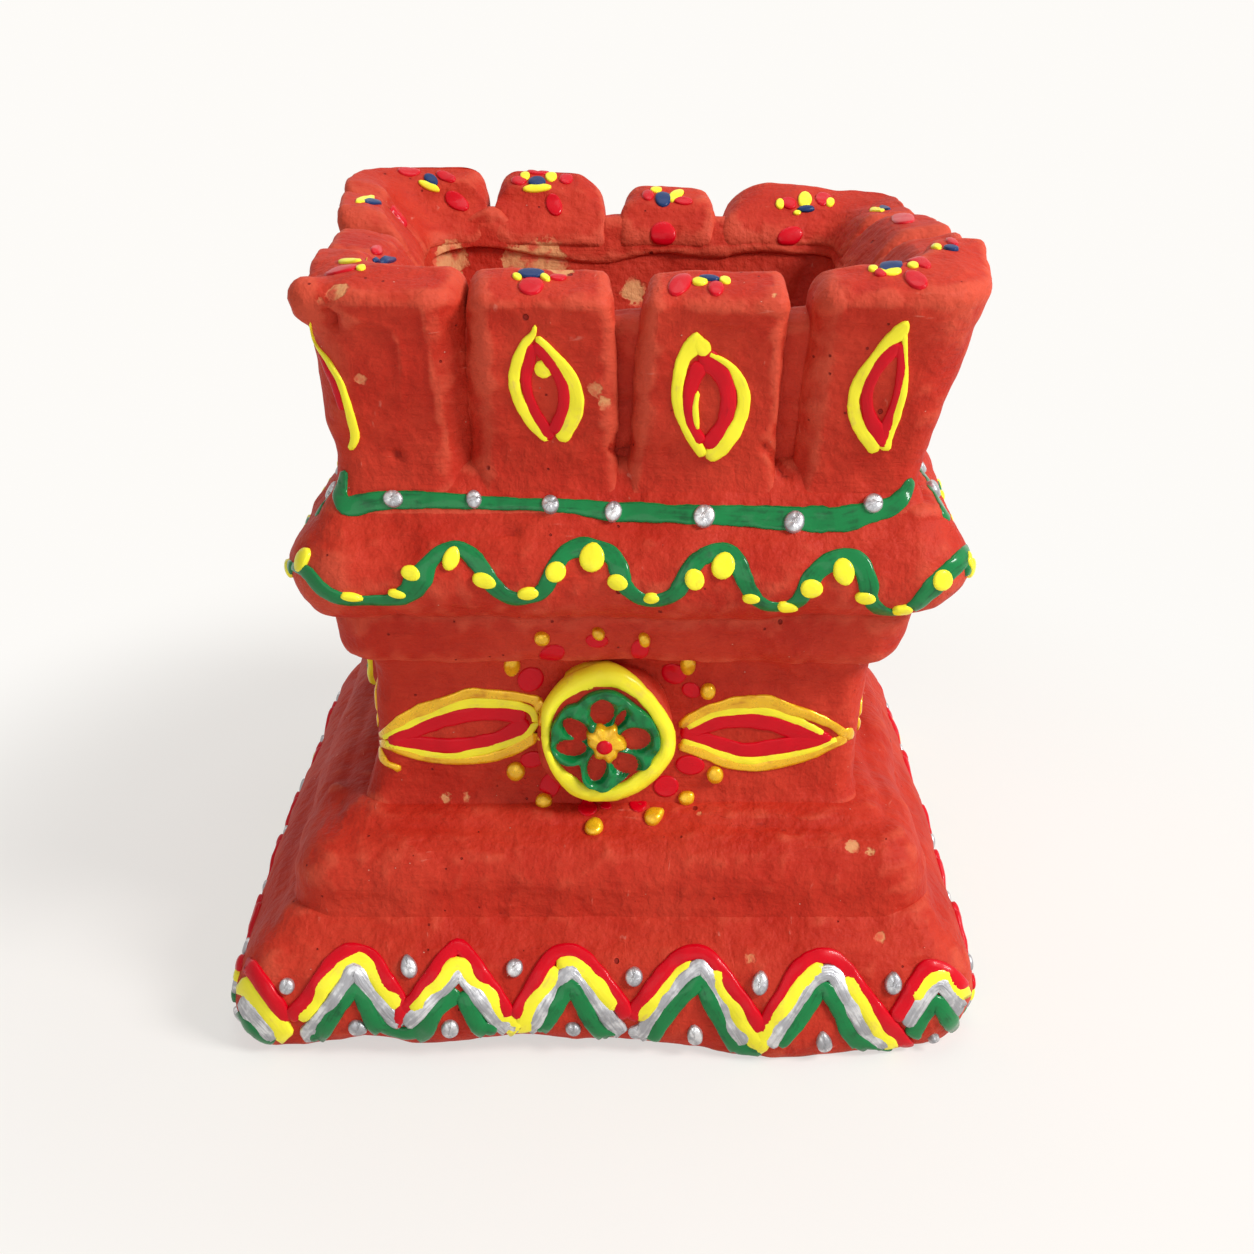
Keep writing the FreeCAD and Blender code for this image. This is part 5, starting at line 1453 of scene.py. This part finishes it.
dots, beads = new_pot(), new_pot()
for u, v, wide, high, turn in HALO_DABS_SEEN:
    seen_dab(dots, u, v, wide, high, HALO_DAB_THICKNESS, turn, HALO_DAB_DOME)
for u, v, wide, high, tip in HALO_BEADS_SEEN:
    seen_dab(beads, u, v, wide, high, HALO_BEAD_THICKNESS, chance.uniform(0, 180), HALO_BEAD_DOME, tip)
for quarter in range(1, 4):
    middle = 2 * WAIST_REACH * quarter + MEDALLION_SHIFTS[SIDES[quarter]]
    for number in range(HALO_COUNT):
        angle = 2 * pi * (number + 0.5) / HALO_COUNT + chance.uniform(-HALO_ERROR, HALO_ERROR)
        flat = FLAT_SHARE if abs(sin(angle)) > FLAT_ABOVE else 1.0
        out = HALO_DAB_RING * flat
        side_dab(dots, middle + out * cos(angle), MEDALLION_HEIGHT + out * sin(angle),
                 chance.uniform(*SIDE_HALO_WIDE), chance.uniform(*SIDE_HALO_HIGH), HALO_DAB_THICKNESS,
                 WAIST_CORNER, WAIST_REACH, chance.uniform(0, 90), HALO_DAB_DOME)
        out = HALO_BEAD_RING * flat
        side_dab(beads, middle + out * cos(angle), MEDALLION_HEIGHT + out * sin(angle),
                 *SIDE_HALO_BEAD, WAIST_CORNER, WAIST_REACH, chance.uniform(0, 180),
                 SIDE_HALO_DOME, chance.uniform(0, SIDE_HALO_TIP))
finish_paint("halo_dots_red", dots, crimson, "paint_crimson")
finish_paint("halo_beads_gold", beads, gold, "paint_gold")

# Medallion paint: a broad yellow ring on the edge of the disc, a thick green tracery that leaves
# petal windows of bare clay, a gold star in the middle, and a red eye on the star.

RING_SEEN = (  # pixel, and how wide the line is there
    (546, 734, 7), (549, 714, 9), (557, 697, 13), (570, 685, 18), (588, 676, 21), (607, 675, 20),
    (624, 680, 17), (639, 691, 14), (651, 704, 13), (661, 719, 13), (667, 737, 13), (664, 754, 13),
    (655, 769, 15), (642, 780, 16), (627, 790, 16), (607, 796, 14), (590, 794, 13), (572, 784, 12),
    (558, 770, 9), (549, 752, 7), (546, 736, 7), (547, 724, 7),
)
TRACERY_MIDDLE = (604.5, 738.0)
TRACERY_OUTLINE = (  # pixels of its lobed outer edge
    (550.6, 737.4), (550.6, 722.7), (557.2, 711), (564.5, 702.9), (574.8, 700), (582.1, 693.3),
    (591, 689), (601.2, 686.7), (613, 688.2), (624.7, 694.8), (635, 702.9), (644.5, 709.5),
    (652.6, 718.3), (658.4, 730), (660.6, 741.8), (657.7, 750.6), (653.3, 756.4), (651.1, 763.8),
    (640.8, 768.9), (630.6, 774), (621.8, 780.6), (613, 787.2), (602.7, 789.4), (591, 785.8),
    (584.3, 779.2), (582.1, 769.6), (580, 762), (576.3, 760.1), (564.5, 762.3), (555, 755),
    (550.6, 746.2),
)
WINDOWS = (  # middle, half-sizes and slant of each opening in the tracery, in pixels
    (600.5, 710, 12.5, 13.5, 0), (619, 716, 10, 4.5, -60), (635, 737, 16, 12, 8), (626, 762, 15, 11, 25),
    (598, 766, 10, 15.5, 8), (571.5, 746, 16, 9, 5), (575, 727, 16, 9, 40),
)
WINDOW_RIM = 4.6  # pixels over which the paint rounds down to the clay
TRACERY_THICKNESS, TRACERY_WAVE, TRACERY_SHARES = 1.7, 9, (0.85, 0.5)
TRACERY_STEP, TRACERY_SIDES, TRACERY_RINGS = 2.0, 120, 72
TRACERY_RISES = 5  # how soon its outer edge comes up to full thickness
ACROSS_SCALE, UP_SCALE = 5.476, 5.02  # pixels to a millimetre on the medallion's face
STAR_SEEN = (606, 740, 17)
STAR_LOBES, STAR_THICKNESS = 6, 2.4
STAR_TIPS = ((205.5, 7), (17, 5), (82, 6))  # bearing, and how far it is drawn out in pixels
STAR_SIDES, STAR_STEP = 72, 8
STAR_WAVE, STAR_TIP_WIDTH = 0.12, 11
DISC_DABS = ((3.1, 0.1), (1.5, 0.0))  # radius and waviness of star and eye on the other sides
DISC_DAB_STEPS, STAR_DOME, EYE_DOME = 32, 0.45, 0.35
EYE_SEEN, PUPIL_THICKNESS = (604.5, 742, 9.5, 8.5), 2.95
RING_RADIUS, RING_THICKNESS = 11.2, 1.25
RING_WIDTH, RING_UNEVEN, RING_TURNS = 2.6, 0.9, 90


def on_disc(quarter, across, up):
    """The place on a medallion, in millimetres from its middle."""
    along = 2 * WAIST_REACH * quarter + MEDALLION_SHIFTS[SIDES[quarter]] + across
    return beside(along, MEDALLION_HEIGHT + up, WAIST_CORNER, WAIST_REACH)


def lay_tracery(pot, quarter, turn):
    """A thick green disc with a lobed edge, whose openings go down to the clay."""
    dots = [np.array(dot) - TRACERY_MIDDLE for dot in TRACERY_OUTLINE]
    outline = np.array(curve_through(dots, TRACERY_STEP, True))
    bearing = np.arctan2(outline[:, 1], outline[:, 0])
    order = np.argsort(bearing)
    far = np.hypot(*outline.T)[order]
    middle = on_disc(quarter, 0, 0)
    outward = Vector((sin(quarter * pi / 2), -cos(quarter * pi / 2), 0))
    blank = bmesh.new()
    layer = blank.verts.layers.float_vector.new("stroke")
    bmesh.ops.create_uvsphere(blank, u_segments=TRACERY_SIDES, v_segments=TRACERY_RINGS, radius=1)
    for vert in blank.verts:
        out = hypot(vert.co.x, vert.co.y)
        angle = np.arctan2(vert.co.y, vert.co.x)
        out *= np.interp(angle, bearing[order], far, period=2 * pi)
        u, v = out * cos(angle), out * sin(angle)
        nearest = float("inf")
        for window_u, window_v, wide, high, slant in WINDOWS:
            a, b = u + TRACERY_MIDDLE[0] - window_u, v + TRACERY_MIDDLE[1] - window_v
            slant = radians(slant)
            a, b = a * cos(slant) + b * sin(slant), b * cos(slant) - a * sin(slant)
            nearest = min(nearest, (hypot(a / wide, b / high) - 1) * min(wide, high))
        share = min(max(nearest / WINDOW_RIM, -1), 1)
        across, up = u / ACROSS_SCALE, -v / UP_SCALE
        across, up = across * cos(turn) - up * sin(turn), across * sin(turn) + up * cos(turn)
        root = on_disc(quarter, across, up)
        least, more = TRACERY_SHARES
        wave = noise.noise(Vector((u, v, quarter * 40)) / TRACERY_WAVE)
        full = TRACERY_THICKNESS * (least + more * wave)
        if vert.co.z > 0 and share > 0:
            lift = full * min(1, vert.co.z * TRACERY_RISES) ** 0.5 * sqrt(1 - (1 - share) ** 2)
        else:
            lift = -PAINT_ROOT * (1 if vert.co.z <= 0 else -share)
        vert.co = root + outward * lift
        vert[layer] = Vector((angle * 6, out / 6, 1))
    pour(pot, blank)


ring, tracery, star, pupil = new_pot(), new_pot(), new_pot(), new_pot()
brush(ring, seen_line(RING_SEEN), RING_THICKNESS, ends=False)
lay_tracery(tracery, 0, 0.0)
outline = []
for bearing in range(0, 360, STAR_STEP):
    angle = radians(bearing)
    out = STAR_SEEN[2] * (1 + STAR_WAVE * cos(STAR_LOBES * angle))
    for tip, far in STAR_TIPS:
        out += far * gentle((bearing - tip + 180) % 360 - 180, STAR_TIP_WIDTH)
    outline.append(seen(STAR_SEEN[0] + out * cos(angle), STAR_SEEN[1] + out * sin(angle)))
dab(star, outline, STAR_THICKNESS, STAR_DOME, STAR_SIDES)
for quarter in range(1, 4):
    turn = chance.uniform(0, 6)
    lay_tracery(tracery, quarter, turn)
    turns = np.linspace(0, 2 * pi, RING_TURNS)
    widths = [
        RING_WIDTH + RING_UNEVEN * noise.noise(Vector((cos(angle) * 2, sin(angle) * 2, quarter)))
        for angle in turns
    ]
    places = [on_disc(quarter, RING_RADIUS * cos(angle), RING_RADIUS * sin(angle)) for angle in turns]
    brush(ring, ribbon(places, widths), RING_THICKNESS, ends=False)
    layers = ((star, STAR_THICKNESS), (pupil, PUPIL_THICKNESS))
    for (pot, thickness), (radius, wave) in zip(layers, DISC_DABS):
        outline = []
        for angle in np.linspace(0, 2 * pi, DISC_DAB_STEPS + 1)[:-1]:
            out = radius * (1 + wave * cos(STAR_LOBES * angle))
            outline.append(on_disc(quarter, out * cos(angle), out * sin(angle)))
        dab(pot, outline, thickness, EYE_DOME, STAR_SIDES // 2)
seen_dab(pupil, *EYE_SEEN, PUPIL_THICKNESS, dome=EYE_DOME)
finish_paint("rosette_ring_yellow", ring, yellow, "paint_yellow")
finish_paint("rosette_tracery_green", tracery, green, "paint_green")
finish_paint("rosette_star_gold", star, gold, "paint_gold")
finish_paint("rosette_eye_red", pupil, crimson, "paint_crimson")

# Flowers on the merlon tops: a navy heart, short yellow strokes or a yellow ring round it, and
# four or five crimson petals dabbed outside; some petals run down over the edge.

FLOWERS_SEEN = {
    "blue": (
        (382, 262, 12, 3.5, 2), (531, 274, 14, 4, 0), (709, 279, 11, 2.5, -3), (891, 266, 12, 3.5, 8),
        (431, 180, 8, 5, -35), (537, 182, 9, 5.5, 0), (663, 199, 8, 8, 0), (806, 209, 9, 3.5, 0),
        (885, 210, 6, 2.5, -10), (951, 249, 8, 2.5, -8), (373, 202, 12, 4, 5),
    ),
    "yellow": (
        (350, 262, 12, 2, 3), (361, 268, 5, 2.5, 10), (367, 258, 10, 1.6, 0), (517, 277, 5, 3, -20),
        (545, 278, 6, 3, -30), (700, 282, 8, 4, 0), (725, 281, 6, 3.5, -10), (873, 269, 5, 3, 0),
        (890, 272, 12, 4, 0), (913, 266, 6, 3, 0), (429, 186, 12, 4, -25), (537, 188, 15, 4.5, 5),
        (525, 176, 5, 5, 0), (551, 177, 6, 5, 0), (656, 190, 6, 2.5, 0), (676, 195, 9, 4.5, 30),
        (780, 204, 4.5, 5, 0), (805, 199, 7, 8, 0), (797, 213, 4, 2.5, 0), (830, 202, 4.5, 4.5, 0),
        (877, 211, 8, 3, 0), (936, 247, 6, 2.5, 0), (365, 200, 10, 3, 10),
    ),
    "red": (
        (341, 270, 18, 4, 12), (531, 286, 13, 10, 0), (558, 278, 9, 3, 0), (680, 284, 14, 9, 40),
        (716, 288, 8, 8, 0), (881, 273, 7, 4, 0), (918, 261, 14, 4, 0), (916, 280, 13, 8, -30),
        (409, 172, 12, 4, -5), (446, 177, 11, 5, -25), (457, 202, 14, 8, -35), (538, 170, 12, 4, 0),
        (519, 181, 8, 5, 0), (566, 179, 7, 5, 0), (554, 205, 8, 12, 20), (648, 195, 6, 5, 0),
        (683, 201, 10, 4, -5), (663, 234, 13, 15, 0), (789, 203, 8, 6, -20), (823, 199, 8, 7, 0),
        (790, 236, 14, 10, 30), (903, 219, 12, 6, 0), (398, 218, 14, 6, -62), (377, 250, 7, 6, 0),
        (952, 242, 7, 3, -25),
    ),
}
FLOWER_STRETCH = 4.5  # the tops are seen from so low that a round dab looks this much flatter
FLOWER_DOME = 0.4
FLOWER_LAYERS = (("red", 0.45), ("yellow", 0.5), ("blue", 0.6))  # the lowest first, and how thick

clay_skin = skin_of(mesh for name, mesh in clay_meshes if "merlon" in name)
pots = {"blue": new_pot(), "yellow": new_pot(), "red": new_pot()}
for colour, thickness in FLOWER_LAYERS:
    for u, v, wide, high, turn in FLOWERS_SEEN[colour]:
        seen_dab(pots[colour], u, v, wide, high, thickness, turn, FLOWER_DOME, stretch=FLOWER_STRETCH)
finish_paint("flower_hearts_blue", pots["blue"], navy, "paint_navy")
finish_paint("flower_strokes_yellow", pots["yellow"], yellow, "paint_yellow")
finish_paint("flower_petals_red", pots["red"], crimson, "paint_crimson")

# Studio: a plain white table, and white all round for the camera. A soft lamp stands high on the
# right, a weak broad one in front on the left, and another hangs overhead.

TABLE_HALF = 12.0
TABLE_GLOW = 0.62  # how far the camera sees the table's own white instead of its lit colour
GLOW_FROM, GLOW_TO = 120, 215  # and how far off it sees nothing else
TABLE_PALE, TABLE_PALER, TABLE_PATCH = (0.82, 0.79, 0.75, 1), (0.85, 0.82, 0.78, 1), 60
ROOM_STRENGTH = 0.25
LAMPS_AIM = Vector((0, 0, 0.07))
LAMPS = (  # place, size, and power
    ((0.95, -0.42, 0.88), 0.40, 16.5),
    ((-0.25, -1.15, 0.45), 0.9, 2.4),
    ((0.1, 0.2, 1.2), 0.7, 3.6),
)

bm = bmesh.new()
bmesh.ops.create_grid(bm, x_segments=1, y_segments=1, size=TABLE_HALF)
mesh = to_mesh(bm, "table")
table = bpy.data.objects.new("table", mesh)
bpy.context.scene.collection.objects.link(table)

WHITE = (0.985, 0.965, 0.935, 1)
white = Recipe("white table", Roughness=0.9, Specular_IOR_Level=0.1)
patches = white.cloud(white.place(), TABLE_PATCH)
white.feed(Base_Color=white.blend(TABLE_PALE, TABLE_PALER, patches))
path = white.tree.nodes.new("ShaderNodeLightPath")
kinds = ("Camera", "Glossy", "Transmission")
seen_rays = sum(Strand(white, path.outputs[f"Is {kind} Ray"]) for kind in kinds)
off = white.node("ShaderNodeVectorMath", {"operation": "LENGTH"}, {0: white.place()}, "Value")
share = TABLE_GLOW + white.rise(off, GLOW_FROM, GLOW_TO) * (1 - TABLE_GLOW)
glow = white.node("ShaderNodeEmission", {}, {"Color": WHITE, "Strength": 1.0})
lit = Strand(white, white.shader.outputs[0])
mixed = white.node("ShaderNodeMixShader", {}, {0: seen_rays * share, 1: lit, 2: glow})
white.tree.links.new(mixed.socket, white.tree.nodes["Material Output"].inputs["Surface"])
mesh.materials.append(white.material)

world = bpy.data.worlds.new("room")
bpy.context.scene.world = world
world.use_nodes = True
air = world.node_tree
ray = air.nodes.new("ShaderNodeLightPath")
total = ray.outputs["Is Camera Ray"]
for kind in ("Is Glossy Ray", "Is Transmission Ray"):
    more = air.nodes.new("ShaderNodeMath")
    air.links.new(total, more.inputs[0])
    air.links.new(ray.outputs[kind], more.inputs[1])
    total = more.outputs[0]
strength = air.nodes.new("ShaderNodeMapRange")
strength.inputs["To Min"].default_value = ROOM_STRENGTH
strength.inputs["To Max"].default_value = 1.0
air.links.new(total, strength.inputs["Value"])
air.links.new(strength.outputs[0], air.nodes["Background"].inputs["Strength"])
air.nodes["Background"].inputs["Color"].default_value = WHITE

for number, (place, size, power) in enumerate(LAMPS, start=1):
    lamp = bpy.data.objects.new(f"lamp_{number}", bpy.data.lights.new(f"lamp_{number}", "AREA"))
    bpy.context.scene.collection.objects.link(lamp)
    lamp.data.size, lamp.data.energy = size, power
    lamp.location = place
    aim = LAMPS_AIM - lamp.location
    lamp.rotation_euler = aim.to_track_quat("-Z", "Y").to_euler()

bpy.context.scene.view_settings.view_transform = "Standard"
